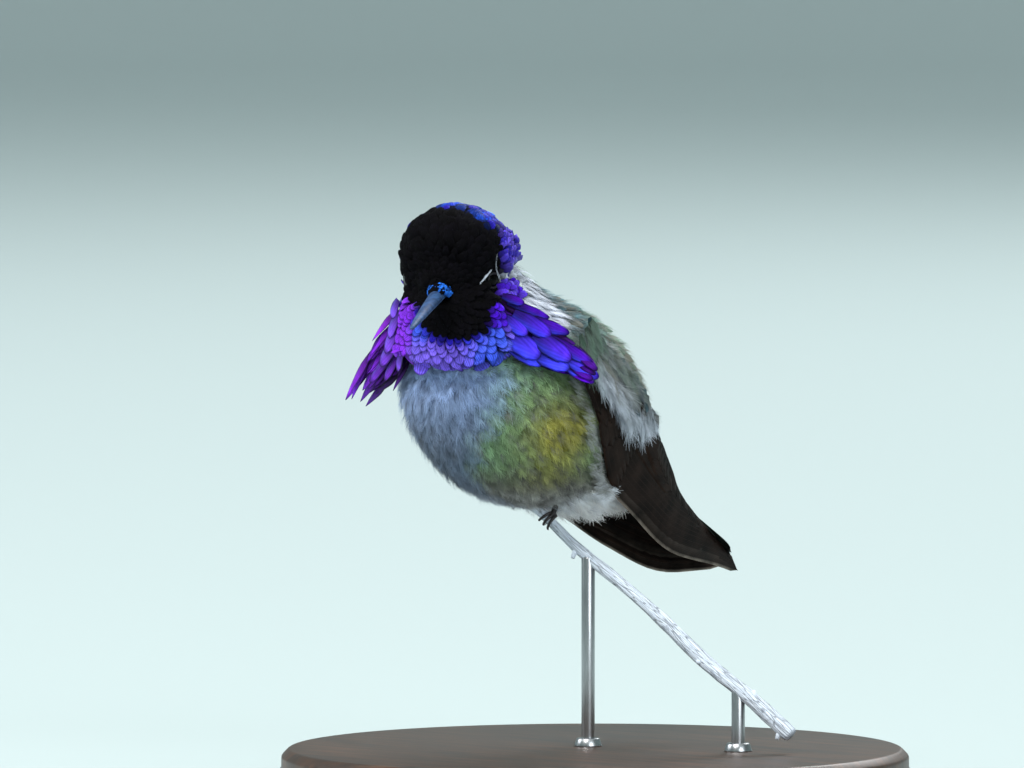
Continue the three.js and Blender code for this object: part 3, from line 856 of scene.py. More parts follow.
def layFeathers(name, shape, roots, normals, lies, sizes, colours, tips, material, slotName, unwrap, rise=1.0,
                jitter=6, uneven=0.14, follow=True, bend=0.0, sink=0.12, replaced=(), edge=None):
    # copies of one shape joined into a mesh: sizes are (width, length) in mm, and rise is how high tips stand
    count = len(roots)
    turn = np.radians(dice.normal(0, jitter, count))[:, None]
    up = unit(normals)
    along = unit(lies - up * (lies * up).sum(axis=1)[:, None])
    along = along * np.cos(turn) + np.cross(along, up) * np.sin(turn)
    width, length = sizes[:, 0] * mm, sizes[:, 1] * mm
    risen = (np.broadcast_to(rise, count) * (1 + dice.normal(0, uneven, count)))[:, None] * mm
    lines = spines(roots, up, along, length, risen, follow, bend, sink)
    loops = [v for face in shape["faces"] for v in face]
    totals = np.array([len(face) for face in shape["faces"]], np.int32)
    mesh = joinedCopies(name, bentCopies(shape, lines, width), loops, totals)
    # each vertex mixed from the root colour to the tip colour: callers give darker roots, painted shade under
    # the feathers that overlap them
    share = (np.clip(shape["layout"][:, 1], 0, 1) ** 1.5)[None, :, None]
    shades = colours[:, None, :] * (1 - share) + tips[:, None, :] * share
    if edge is not None:
        # another gloss along one side of the vane
        part = smooth(0.4, 0.95, shape["layout"][:, 0])[None, :, None]
        shades = shades * (1 - part) + edge[:, None, :] * (0.3 + 0.7 * share) * part
    paint(mesh, shades.reshape(-1, 3))
    local = np.tile(shape["layout"][loops], (count, 1))
    corner = np.repeat(np.clip(unwrap(roots), 0, 1) * (1 - bakePatch), len(loops), axis=0)
    addLayout(mesh, "vane", local)
    addLayout(mesh, "OFBake", corner + local * bakePatch)
    print(name, count, "feathers", int((totals - 2).sum()) * count, "triangles")
    addPiece(name, mesh, material, replaced)


def varied(colours, amount):
    # each feather a little lighter or darker than the next
    return np.clip(colours * (1 + dice.normal(0, amount, (len(colours), 1))), 0, 1)


def streaked(colours, name, chance):
    # some feathers turned towards another colour
    hit = (dice.random(len(colours)) < chance) * dice.uniform(0.4, 1.0, len(colours))
    return mix(colours, name, hit)


def sized(count, width, length, spread=0.12):
    scale = 1 + dice.normal(0, spread, (count, 1))
    return np.column_stack([np.full(count, width), np.full(count, length)]) * np.clip(scale, 0.6, 1.5)


def bodyLie(places):
    # down the body from nape to rump
    bird = inBird(places)
    _, along = rollAngle(bird)
    share = np.clip(along / axisLength, 0, 1)[:, None]
    return unit((1 - share) * np.array((0, 0.35, -0.95)) + share * np.array((0, 0.9, -0.44)))


def headLie(places):
    # away from the bill's root on every side
    return unit(places - np.array(headPoint(0, -8.2, -1.8)))


def isGorget(places):
    # the throat under the bill, out to its scalloped rim
    head = inHead(places)
    widest = np.interp(head[:, 2], [-12, -8, -4, -1.5], [10, 9.4, 7.4, 5.5])
    low = -10.6 + 1.2 * (head[:, 0] / 9) ** 2
    under = (head[:, 2] < -2.7 - 0.05 * np.abs(head[:, 0])) & (head[:, 2] > low)
    return under & (np.abs(head[:, 0] - 0.5) < widest) & (head[:, 1] < 0.5)


def isHead(places):
    head = inHead(places)
    ball = np.linalg.norm(head * (1, 0.88, 1), axis=1) < 9.4
    return ball & ~isGorget(places) & (head[:, 2] > np.interp(head[:, 1], [1, 5, 8], [-4.2, -1.8, 0.5]))


def clearOfFace(places):
    # outside the eyes' openings and the bill's root
    keep = np.ones(len(places), bool)
    for hand in hands:
        height, share, _ = eyeView(places, hand)
        keep &= ~((share < 1.25) & (height > 0.2))
    head = inHead(places)
    bill = np.hypot(head[:, 0] / 1.25, (head[:, 2] + 1.85) / 1.0) < 1
    return keep & ~(bill & (head[:, 1] < -5))


zones = {"breast": 0, "flank": 1, "vent": 2, "back": 3, "nape": 4, "none": -1}


def bodyZone(places):
    # which zone of the body each place lies in; the nape takes in the sides of the neck
    bird = inBird(places)
    roll, along = rollAngle(bird)
    zone = np.where(breastShare(bird) > 0.5, zones["breast"], zones["flank"])
    zone = np.where((bird[:, 1] > -1.4) & (bird[:, 2] < ventEdge(bird)) & (roll < 88), zones["vent"], zone)
    zone = np.where((roll > 100) & (along > 8), zones["back"], zone)
    zone = np.where(((along <= 8) & (roll > 60)) | (stripeShare(bird) > 0.3), zones["nape"], zone)
    return np.where(isHead(places) | isGorget(places), zones["none"], zone)


wingTrees = []
for node in ("wing_left", "wing_right"):
    bm = bmesh.new()
    bm.from_mesh(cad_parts[node].data)
    wingTrees.append(BVHTree.FromBMesh(bm))
    bm.free()


def clearOfWings(roots, lies, length):
    # body feathers stop short of the folded wings
    keep = np.ones(len(roots), bool)
    for tree in wingTrees:
        for places, gap in ((roots, 1.7), (roots + lies * length * 0.6 * mm, 1.2)):
            keep &= np.array([tree.find_nearest(Vector(place))[3] / mm > gap for place in places])
    return keep


def faceScale(places):
    # feathers shrink towards the bill and round the eyes
    near = np.linalg.norm(inHead(places) - (0, -8, -1.8), axis=1)
    for hand in hands:
        near = np.minimum(near, np.linalg.norm(places - eyeCentre[hand], axis=1) / mm + 0.2)
    return np.interp(near, [1, 2.4, 6.5], [0.36, 0.46, 1.0])


def isGem(colours):
    return (colours[:, 2] > 0.2) & (colours[:, 2] > 2.2 * colours[:, 1])


crown = {"spacing": 0.68, "width": 1.8, "length": 2.4}  # the face's are made smaller by place
gems = {
    # feathers that stand out from the back of the head: broad ones over its top, fine ones behind the eye
    "nape_gems": {"low": 3.4, "high": 12, "spacing": 0.8, "width": 1.5, "length": 2.0},
    "ear_gems": {"low": -3.4, "high": 3.4, "spacing": 0.5, "width": 0.82, "length": 1.15},
}
cheek = {"middle": (6.2, -0.9, -3.5), "radii": (2.4, 1.9, 1.3), "spacing": 0.55, "width": 1.0, "length": 1.6}
billRoot = {
    "from": -6.6, "to": -10.2, "step": -0.32,  # rows of feathers out over the bill
    "glints": ((-1.15, -8.2, -1.15), (0.65, -8.4, -0.65), (1.4, -8.2, -1.3)), "glint": (0.6, 1.5, 0.55),
}


def onCrown(places):
    gem = isGem(headColour(places)) & (inHead(places)[:, 2] < 2.6)
    return isHead(places) & clearOfFace(places) & ~gem


def makeCrown():
    roots, normals = scatter(lambda p: crown["spacing"] * faceScale(p), onCrown)
    head = inHead(roots)
    colours = varied(headColour(roots), 0.25)
    # violet and deep blue feathers are mixed in the patch behind the eye
    side = smooth(3.5, 6.0, np.abs(head[:, 0])) * smooth(0.5, 2, head[:, 1])
    colours = mix(colours, "patchDeep", (dice.random(len(roots)) < 0.3) * side * 0.8)
    sizes = sized(len(roots), crown["width"], crown["length"]) * faceScale(roots)[:, None]
    flat = 0.95 - 0.25 * smooth(4, 7, head[:, 2])
    # dark roots: painted shade under the feathers that overlap them
    layFeathers("crown_feathers", shapes["smallScale"], roots, normals, headLie(roots), sizes, colours * 0.45,
                colours * 1.1, crownVane, "crown", headUnwrap, rise=coatDepth(roots) * flat, uneven=0.22)


def makeGems(name, look):
    def wanted(places):
        height = inHead(places)[:, 2]
        within = (height > look["low"]) & (height < look["high"])
        return isHead(places) & clearOfFace(places) & isGem(headColour(places)) & within

    roots, normals = scatter(look["spacing"], wanted)
    head = inHead(roots)
    colours = streaked(varied(headColour(roots), 0.3), "patchDeep", 0.35)
    stand = 1.0 + 0.9 * smooth(1.5, 4.5, head[:, 1]) * smooth(3.2, 1.0, head[:, 2])
    sizes = sized(len(roots), look["width"], look["length"])
    # dark roots: painted shade under the feathers that overlap them; bright tips
    layFeathers(name, shapes["gem"], roots, normals, headLie(roots), sizes, colours * 0.2, colours * 1.5,
                gemVane, "crown", headUnwrap, rise=stand, jitter=10, uneven=0.06)


def onCheek(places):
    away = (mirrored(inHead(places)) - cheek["middle"]) / cheek["radii"]
    return np.linalg.norm(away, axis=1) < 1


def makeCheeks():
    # cheek feathers, which overhang the side of the throat
    roots, normals = scatter(cheek["spacing"], onCheek)
    count = len(roots)
    colours = mix(np.tile(tint["cheek"], (count, 1)), "patch", dice.random(count) * 0.8)
    layFeathers("cheek_feathers", shapes["gem"], roots, normals, headLie(roots),
                sized(count, cheek["width"], cheek["length"]), colours * 0.2, colours * 1.4, gemVane, "crown",
                headUnwrap, rise=dice.uniform(0.8, 1.2, count), jitter=12)


def makeBillRoot():
    # short feathers that run out over the root of the bill, further along its ridge than its sides; some
    # beside it carry a painted blue glint
    roots, normals, lies, sizes = [], [], [], []
    for row, y in enumerate(np.arange(billRoot["from"], billRoot["to"], billRoot["step"])):
        reach = np.interp(y, [-10.2, -9.2, -8, -6.6], [38, 70, 105, 125])
        for angle in np.radians(np.linspace(-reach, reach, int(5 + reach / 6)) + 3 * (row % 2)):
            wide = np.interp(y, [-10.2, -8.6, -6.6], [1.06, 1.3, 1.95])
            x = billTurn * (-7 - y) + wide * math.sin(angle)
            roots.append(headPoint(x, y, -1.8 + 0.95 * wide * math.cos(angle)))
            normals.append(headAxes @ unit(np.array((math.sin(angle), -0.15, math.cos(angle)))))
            lies.append(headAxes @ np.array((0.3 * math.sin(angle), 1, 0.2 * math.cos(angle))))
            sizes.append(np.array((0.55, 0.85)) * np.interp(y, [-10, -7], [0.8, 1.15]))
    roots, count = np.array(roots), len(roots)
    # painted glints: some feathers either side of the bill's root turned bright blue
    beside = sum(blob(inHead(roots), middle, billRoot["glint"]) for middle in billRoot["glints"])
    lit = (dice.random(count) < 1.2 * beside) * dice.uniform(0.3, 1, count)
    colours = mix(np.tile(tint["crown"], (count, 1)), "loresGlint", lit)
    layFeathers("bill_root_feathers", shapes["smallScale"], roots, np.array(normals), np.array(lies),
                np.array(sizes), colours * 0.4, colours * 1.2, crownVane, "crown", headUnwrap, follow=False,
                bend=-0.15, sink=0.22)


gorget = {
    "middle": (0.9, -22, -2.7),  # before the chin, where the rows start
    "first": 0.5, "last": 11.5,  # mm out to the first and last rows
    "sweep": 125,  # degrees round to each side from straight down
    "free": -8.6,  # feathers rooted below this stand free of the breast
}


def makeGorget():
    # rows of scales, each row further from the chin than the last; the last rows stand free of the breast
    roots, lies, sizes, lifts = [], [], [], []
    radius, row = gorget["first"], 0
    sweepAngle, inward = math.radians(gorget["sweep"]), Vector(headAxes @ np.array((0, 1, 0)))
    x, y, z = gorget["middle"]
    while radius < gorget["last"]:
        grow = min(1, radius / 9)
        wide = 0.9 + 1.7 * grow**2.2
        step = wide * (0.56 + 0.2 * grow) / radius
        for k in range(int(2 * sweepAngle / step) + 1):
            angle = (k + 0.5 * (row % 2)) * step - sweepAngle
            start = headPoint(x + radius * math.sin(angle) * 1.1, y, z - radius * math.cos(angle))
            spot = skinTree.ray_cast(start, inward)[0]
            if spot:
                roots.append(spot)
                lies.append(headAxes @ np.array((math.sin(angle), 0, -math.cos(angle))))
                sizes.append((wide, 1.3 + 1.0 * grow))
                lifts.append(0.1 * (k % 2))
        radius += 0.34 + 0.56 * grow**2
        row += 1
    roots = np.array(roots)
    keep = isGorget(roots) & clearOfFace(roots)
    lies, sizes, lifts = np.array(lies)[keep], np.array(sizes)[keep], np.array(lifts)[keep]
    roots, normals = ontoSkin(roots[keep])
    rises = coatDepth(roots) + lifts
    sizes = sizes * (1 + dice.normal(0, 0.06, (len(sizes), 1)))
    reach = lies * sizes[:, 1:] * mm
    shade = 1 + dice.normal(0, 0.12, (len(roots), 1))
    colours, tips = gorgetColour(roots + 0.3 * reach) * shade, gorgetColour(roots + 0.8 * reach) * shade
    free = inHead(roots)[:, 2] < gorget["free"]
    black = ~free & (tips.max(axis=1) < 0.1)
    # each feather dark at its root with painted shade under the row that lies over it, lighter at its tip
    for name, part, lying, vane in (
            ("gorget_throat_feathers", black, {"rise": rises[black]}, crownVane),
            ("gorget_feathers", ~free & ~black, {"rise": rises[~free & ~black]}, gemVane),
            ("gorget_rim_feathers", free, {"follow": False, "bend": 0.45, "sink": -0.7}, gemVane)):
        layFeathers(name, shapes["gem"], roots[part], normals[part], lies[part], sizes[part],
                    colours[part] * 0.25, tips[part] * 1.35, vane, "gorget", headUnwrap, jitter=2,
                    uneven=0.03, **lying)


full = skinSettings["bodyDepth"]
# share of the feathers turned to another colour: a number, or a function of the bird's own millimetres
# on the breast, dark feathers gather low on the bird's right side: partly its own streaks, partly painted
# shade
breastStreaks = (("streak", lambda b: 0.7 * smooth(0, -6, b[:, 0]) * smooth(16, 9, b[:, 2])
                  + 0.1 * smooth(16, 6, b[:, 2])),)
flankStreaks = (("bellyDark", lambda b: 0.2 * smooth(10, 5, b[:, 2]) + 0.07), ("nape", 0.1))
backStreaks = (("backGrey", 0.3), ("belly", 0.1))
napeStreaks = (("streak", lambda b: 0.45 * (1 - stripeShare(b))),)
# each layer: shape, spacing, width and length, how far its tips stand over the skin, and its colours, which
# are those of the body made darker at the root by the first number, painted shade where the feathers overlap,
# and lighter at the tip by the second
coats = {
    "breast_underlayer": {"shape": "scale", "spacing": 1.0, "size": (2.1, 2.6), "stand": (0.4, 0.8),
                          "material": bodyVane},
    "breast_barbs": {"shape": "plume", "spacing": 0.5, "size": (1.5, 2.4), "stand": (0.75 * full, full),
                     "material": downBarbs, "streaks": breastStreaks, "jitter": 8, "tones": (0.6, 1.12)},
    "breast_hairs": {"shape": "hair", "spacing": 0.55, "size": (1.5, 2.64), "stand": (0.9 * full, 1.1 * full),
                     "material": downBarbs, "streaks": breastStreaks, "jitter": 10, "vary": 0.2},
    "flank_underlayer": {"shape": "scale", "spacing": 0.95, "size": (1.9, 2.4), "stand": (0.4, 0.8),
                         "material": bodyVane},
    "flank_barbs": {"shape": "plume", "spacing": 0.52, "size": (1.4, 2.2), "stand": (0.75 * full, full),
                    "material": greenBarbs, "streaks": flankStreaks, "jitter": 8, "tones": (0.3, 1.4),
                    "vary": 0.2, "fringe": ("vent", 0.07)},
    "flank_hairs": {"shape": "hair", "spacing": 0.78, "size": (1.4, 2.42), "stand": (0.9 * full, 1.1 * full),
                    "material": greenBarbs, "streaks": flankStreaks, "jitter": 10, "tones": (0.6, 1.4),
                    "vary": 0.28, "fringe": ("vent", 0.12)},
    "vent_underlayer": {"shape": "scale", "spacing": 1.0, "size": (2.2, 2.8), "stand": (0.4, 0.8),
                        "material": bodyVane},
    "vent_plumes": {"shape": "down", "spacing": 0.62, "size": (2.0, 4.4), "stand": (0.8 * full, 1.7 * full),
                    "material": downBarbs, "jitter": 18, "tones": (1.0, 1.3)},
    "back_vanes": {"shape": "scale", "spacing": 0.85, "size": (1.8, 2.3), "stand": (0.7 * full, 0.95 * full),
                   "material": bodyVane, "streaks": backStreaks, "tones": (0.35, 1.25), "vary": 0.25},
    "back_barbs": {"shape": "plume", "spacing": 0.58, "size": (1.6, 2.5), "stand": (0.85 * full, 1.1 * full),
                   "material": greenBarbs, "streaks": backStreaks, "jitter": 8, "tones": (0.25, 1.35),
                   "vary": 0.3, "fringe": ("nape", 0.12)},
    "back_hairs": {"shape": "hair", "spacing": 0.8, "size": (1.76, 3.0), "stand": (0.95 * full, 1.2 * full),
                   "material": greenBarbs, "streaks": backStreaks, "jitter": 12, "tones": (0.5, 1.3),
                   "vary": 0.25},
    "nape_underlayer": {"shape": "scale", "spacing": 0.8, "size": (1.5, 2.0), "stand": (0.2, 0.45),
                        "material": bodyVane, "slot": "nape"},
    "nape_hairs": {"shape": "plume", "spacing": 0.44, "size": (1.1, 2.8), "stand": (0.7 * full, full),
                   "material": downBarbs, "slot": "nape", "streaks": napeStreaks, "tones": (0.8, 1.1),
                   "vary": 0.12},
}


def makeCoat(name, look):
    # one layer of feathers over the zone of the body that its name begins with
    zone = zones[name.split("_")[0]]
    roots, normals = scatter(look["spacing"], lambda p: (bodyZone(p) == zone) & clearOfFace(p))
    keep = clearOfWings(roots, bodyLie(roots), look["size"][1])
    roots, normals = roots[keep], normals[keep]
    colours = varied(bodyColour(roots), look.get("vary", 0.14))
    for streak, chance in look.get("streaks", ()):
        colours = streaked(colours, streak, chance(inBird(roots)) if callable(chance) else chance)
    # darker roots: painted shade under the feathers that overlap them; lighter tips
    dark, light = look.get("tones", (0.6, 1.15))
    tips = np.clip(colours * light, 0, 1)
    if "fringe" in look:
        streak, share = look["fringe"]
        tips = mix(tips, streak, np.full(len(tips), share))
    stand = dice.uniform(*look["stand"], len(roots))
    layFeathers(name, shapes[look["shape"]], roots, normals, bodyLie(roots), sized(len(roots), *look["size"]),
                colours * dark, tips, look["material"], look.get("slot", "plumage"), bodyUnwrap, rise=stand,
                jitter=look.get("jitter", 6))


paint(skinMesh, coatColour(skinPlaces) * 0.8)
addPiece("skin", skinMesh, skinMaterial(), tuple(skinSettings["nodes"]))
makeCrown()
for gemName, gem in gems.items():
    makeGems(gemName, gem)
makeCheeks()
makeBillRoot()
makeGorget()
for coatName, coat in coats.items():
    makeCoat(coatName, coat)
print("coat made")

# the gorget's flares are fans of blades between two edges, in the head's own axes
fans = {
    "gorget_flare_feathers_left": {
        "first": [(6.3, -3.0, -3.2), (8.5, -2.4, -4.7), (11.0, -1.2, -6.6), (13.8, -0.5, -9.0),
                  (16.5, -1.1, -11.5), (17.6, -1.0, -13.3)],
        "second": [(6.2, -5.0, -8.5), (8.2, -4.4, -9.9), (10.2, -3.6, -11.1), (12.3, -2.9, -11.6),
                   (15.1, -3.0, -12.9), (17.1, -1.9, -13.9)],
        "facing": (0.35, -1, 0.1), "tiers": (0, 0.15, 0.3, 0.45, 0.6), "across": (6, 6, 5, 5, 4), "lap": 0.3,
        "length": 5.2, "width": 1.5, "shape": "blade", "upper": "flareDarkAndShade", "lower": "flareDeep",
        "swing": 2.5, "uneven": 0.08, "lift": 0.1, "replaced": ("gorget_flare_left",),
        "glossUpper": "flareDeep", "glossLower": "flareBlue",
        # the long feathers on top: from and to (share along the fan, share down it), width, height over the
        # fan, blueness
        "main": [((0, 0), (0.22, -0.1), 1.2, 1.0, 0.05), ((0.06, 0.05), (0.43, -0.14), 1.2, 0.5, 0.1),
                 ((0.17, 0.24), (0.58, -0.18), 1.7, 0.5, 0.15), ((0.42, 0.31), (0.83, 0.02), 1.7, 0.35, 0.1),
                 ((0.01, 0.42), (0.27, 0.52), 1.8, 1.1, 0.5), ((0.12, 0.22), (0.47, 0.26), 2.1, 0.95, 0.4),
                 ((0.06, 0.72), (0.43, 0.85), 2.8, 0.9, 0.65), ((0.33, 0.45), (0.69, 0.52), 2.5, 0.7, 0.4),
                 ((0.54, 0.5), (1, 0.42), 2.1, 0.5, 0.55), ((0.07, 0.94), (0.48, 1.05), 1.8, 0.5, 1),
                 ((0.35, 0.8), (0.72, 0.82), 2.1, 0.4, 0.9), ((0.65, 0.78), (0.99, 0.86), 1.8, 0.2, 0.95)],
    },
    "gorget_flare_feathers_right": {
        "first": [(-5.3, -3.7, -3.2), (-6.9, -3.3, -6.1), (-9.2, -2.0, -9.2), (-11.3, -0.5, -12.0),
                  (-12.9, 1.1, -14.7), (-13.4, 2.0, -16.8)],
        "second": [(-3.9, -6.3, -8.3), (-4.7, -5.0, -11.0), (-6.6, -3.4, -13.0), (-8.7, -1.7, -14.6),
                   (-10.6, 0.1, -16.1), (-12.4, 1.6, -17.6)],
        # this fan's blades darken towards its lower side: painted shade under the fan
        "facing": (-0.5, -1, 0.1), "tiers": (0.1, 0.19, 0.28, 0.37, 0.46, 0.55), "across": (6,) * 6,
        "lap": 0.25, "length": 6.4, "width": 1.15, "shape": "spike", "upper": "flareMagenta",
        "lower": "flareDarkAndShade", "swing": 4, "uneven": 0.2, "lift": 0.4, "replaced": ("gorget_flare_right",),
        "glossUpper": "flareMagenta", "glossLower": "rimLilac",
        "main": [((0, 0.05), (0.14, 0.12), 1.6, 0.9, 0.6), ((0, 0.3), (0.24, 0.32), 1.9, 0.95, 0.5),
                 ((0.04, 0.45), (0.34, 0.43), 2.1, 0.85, 0.4), ((0.15, 0.52), (0.46, 0.53), 1.9, 0.7, 0.3),
                 ((0.05, 0.84), (0.3, 0.98), 1.9, 0.8, 0.5), ((0.27, 0.54), (0.68, 0.57), 1.3, 0.5, 0.15),
                 ((0.2, 0.68), (0.52, 0.9), 1.4, 0.5, 0.15), ((0.19, 0.25), (0.5, 0.05), 1.0, 0.5, 0.1),
                 ((0.02, 0.62), (0.26, 0.66), 1.9, 0.95, 0.6)],
    },
}


def makeFan(name, look):
    first, second = curveThrough(look["first"]), curveThrough(look["second"])
    facing = unit(np.array(look["facing"], float))

    def at(t, a):
        return first(t) * (1 - a) + second(t) * a

    roots, lies, normals, colours, sizes = [], [], [], [], []
    for tier, (t, many) in enumerate(zip(look["tiers"], look["across"])):
        for k in range(many):
            a = (k + 0.5 + 0.2 * (tier % 2 * 2 - 1)) / many
            lie = unit(at(min(1, t + 0.2), a) - at(t, a))
            down = unit(at(t, 1) - at(t, 0))
            up = unit(np.cross(down, lie))
            up = up if up @ facing > 0 else -up
            roots.append(at(t, a) + up * (look["lift"] * (1 - t) - 0.09 * k + dice.uniform(-0.05, 0.05)))
            lies.append(lie)
            normals.append(unit(up - down * look["lap"]))
            tone = np.clip(a + dice.normal(0, 0.2), 0, 1)
            colours.append(tint[look["upper"]] * (1 - tone) + tint[look["lower"]] * tone)
            long = look["length"] * (0.7 + 0.3 * t / look["tiers"][-1]) * (1 + dice.normal(0, look["uneven"]))
            sizes.append((look["width"] * dice.uniform(0.9, 1.1), long))
    roots = np.array([headPoint(*p) for p in roots])
    colours = varied(np.array(colours), 0.2)
    # each blade dark at its root with painted shade under the blades over it, lighter at its tip
    layFeathers(name, shapes[look["shape"]], roots, np.array(normals) @ headAxes.T,
                np.array(lies) @ headAxes.T, np.array(sizes), colours * 0.15, colours * 1.4, flareVane,
                "gorget", headUnwrap,
                jitter=look["swing"], follow=False, bend=0.12, sink=0, replaced=look["replaced"])
    roots, lies, normals, colours, lower, sizes = [], [], [], [], [], []
    for start, end, wide, height, tone in look["main"]:
        lie, down = at(*end) - at(*start), unit(at(start[0], 1) - at(start[0], 0))
        up = unit(np.cross(down, lie))
        up = up if up @ facing > 0 else -up
        roots.append(headPoint(*(at(*start) + up * height)))
        lies.append(unit(lie))
        normals.append(unit(up - down * 0.12))
        gloss = tint[look["glossUpper"]] * (1 - tone) + tint[look["glossLower"]] * tone
        colours.append(gloss * min(1, 0.45 + tone))
        lower.append(tint[look["glossLower"]] * min(1, 0.3 + tone) * 1.3)
        sizes.append((wide, np.linalg.norm(lie)))
    colours = np.array(colours)
    # dark roots again: painted shade under the blades that overlap them
    layFeathers(name.replace("feathers", "main"), shapes["blade"], np.array(roots),
                np.array(normals) @ headAxes.T, np.array(lies) @ headAxes.T, np.array(sizes), colours * 0.15,
                colours * 1.4, flareVane, "gorget", headUnwrap, jitter=0.5, follow=False, bend=0.1, sink=0,
                edge=np.array(lower))


for fanName, fan in fans.items():
    makeFan(fanName, fan)
print("flares made")


def edgesOf(verts):
    # each edge once, in the same order each run
    return list(dict.fromkeys(e for v in verts for e in v.link_edges))


def spinAround(bm, parts, steps):
    # a profile turned once round the upright axis
    bmesh.ops.spin(bm, geom=parts, cent=(0, 0, 0), axis=(0, 0, 1), angle=2 * math.pi, steps=steps,
                   use_merge=True)


def spinProfile(bm, profile, steps):
    # the profile is a line of (out, up)
    verts = [bm.verts.new((x, 0, z)) for x, z in profile]
    spinAround(bm, verts + [bm.edges.new(pair) for pair in zip(verts, verts[1:])], steps)
    bmesh.ops.remove_doubles(bm, verts=bm.verts, dist=1e-7)


def addCone(bm, sides, low, high, depth, place):
    # low and high are the radii of its ends, and place its middle
    made = bmesh.ops.create_cone(bm, cap_ends=True, segments=sides, radius1=low, radius2=high, depth=depth)
    verts = made["verts"]
    bmesh.ops.translate(bm, verts=verts, vec=place)
    return verts


def pullRings(bm, sides, count, capped=False):
    # rings of vertices, each pulled out of the last, in one order round the tube; and the first ring's places
    ring = bmesh.ops.create_circle(bm, cap_ends=capped, segments=sides, radius=1)["verts"]
    circle = [v.co.copy() for v in ring]
    edges = edgesOf(ring)
    rings = [list(ring)]
    while len(rings) < count:
        made = bmesh.ops.extrude_edge_only(bm, edges=edges)["geom"]
        edges = [part for part in made if isinstance(part, bmesh.types.BMEdge)]
        fresh = {part for part in made if isinstance(part, bmesh.types.BMVert)}
        # each new vertex is matched to the one it was pulled from
        ring = [next(e.other_vert(v) for e in v.link_edges if e.other_vert(v) in fresh) for v in rings[-1]]
        rings.append(ring)
    return rings, circle


def capRing(bm, ring):
    bmesh.ops.contextual_create(bm, geom=[e for e in edgesOf(ring) if all(v in ring for v in e.verts)])


def sweep(bm, route, radii, sides):
    # a closed tube: a circle pulled along the route
    route = [Vector(p) for p in route]
    last = len(route) - 1
    rings, circle = pullRings(bm, sides, last + 1)
    turn, previous = Quaternion(), Vector((0, 0, 1))
    for i, ring in enumerate(rings):
        ahead = (route[min(i + 1, last)] - route[max(i - 1, 0)]).normalized()
        turn = previous.rotation_difference(ahead) @ turn
        previous = ahead
        for v, p in zip(ring, circle):
            v.co = route[i] + turn @ p * radii[i]
    capRing(bm, rings[0])
    capRing(bm, rings[-1])
    return rings


wing = {
    "leading": [(11.9, -7.4, 18.6), (12.1, -3.8, 12), (9.3, 1.3, 4.3), (7.4, 8.2, -0.4), (5, 18, -6),
                (1.2, 33.8, -8.9)],
    "trailing": [(10.4, -2.6, 21.4), (11.2, 3, 16.4), (10.3, 8.4, 11), (8.4, 13.4, 5.6), (6, 19, 0.8),
                 (1.5, 34.0, -7.7)],
    # the right wing lies a little higher along the body and lower at its tip
    "leadingRight": [(11.9, -7.4, 18.6), (12.7, -2.7, 12), (9.6, 2.2, 4.7), (7.4, 8.4, 0.9),
                     (5.5, 18.3, -6.2), (3.4, 26.2, -10.4), (1.2, 34.6, -9.4)],
    "trailingRight": [(10.4, -2.6, 21.4), (11.2, 3, 16.4), (10.3, 8.4, 11.5), (8.4, 13.4, 6.9),
                      (6.6, 19, 4.5), (4.9, 26.6, -1.6), (1.9, 34.9, -6.5)],
    "long": 51.7,
    # mm down the wing, outermost first
    "primaryEnds": (51.5, 50.7, 49.0, 46.8, 44.4, 41.8, 39.0, 36.2, 33.4, 30.7),
    "secondaryEnds": (28.4, 26.6, 25, 23.6, 22.4, 21.4),
    "tertials": 11, "covertRows": 3, "coverts": 9,
    "layer": 0.03,  # each feather's step outwards over the last
}


def wingSurface(hand):
    # the folded wing's face: at(d mm down the wing, share across it from the leading edge, mm outwards)
    which = "" if hand > 0 else "Right"
    leading = curveThrough(np.array(wing["leading" + which]) * (hand, 1, 1))
    trailing = curveThrough(np.array(wing["trailing" + which]) * (hand, 1, 1))
    shares = np.linspace(0, 1, 300)
    middle = (leading(shares) + trailing(shares)) / 2
    run = np.concatenate([[0], np.cumsum(np.linalg.norm(np.diff(middle, axis=0), axis=1))])
    chords = np.linalg.norm(leading(shares) - trailing(shares), axis=1)

    def at(d, a, out):
        t = np.interp(d, run * wing["long"] / run[-1], shares)
        low, high = leading(t), trailing(t)
        ahead = unit(leading(np.minimum(t + 0.01, 1)) - leading(np.maximum(t - 0.01, 0)))
        side = high - low
        normal = unit(np.cross(ahead, side)) * hand
        bow = 0.45 * (1 - (2 * a - 1) ** 2) * np.interp(d, [0, 40, 50], [1, 1, 0.2])
        before = ahead * np.minimum(d, 0)[..., None]  # straight on above the shoulder
        return low + side * a[..., None] + normal * (out + bow)[..., None] + before

    return at, lambda d: np.interp(d, run * wing["long"] / run[-1], chords)


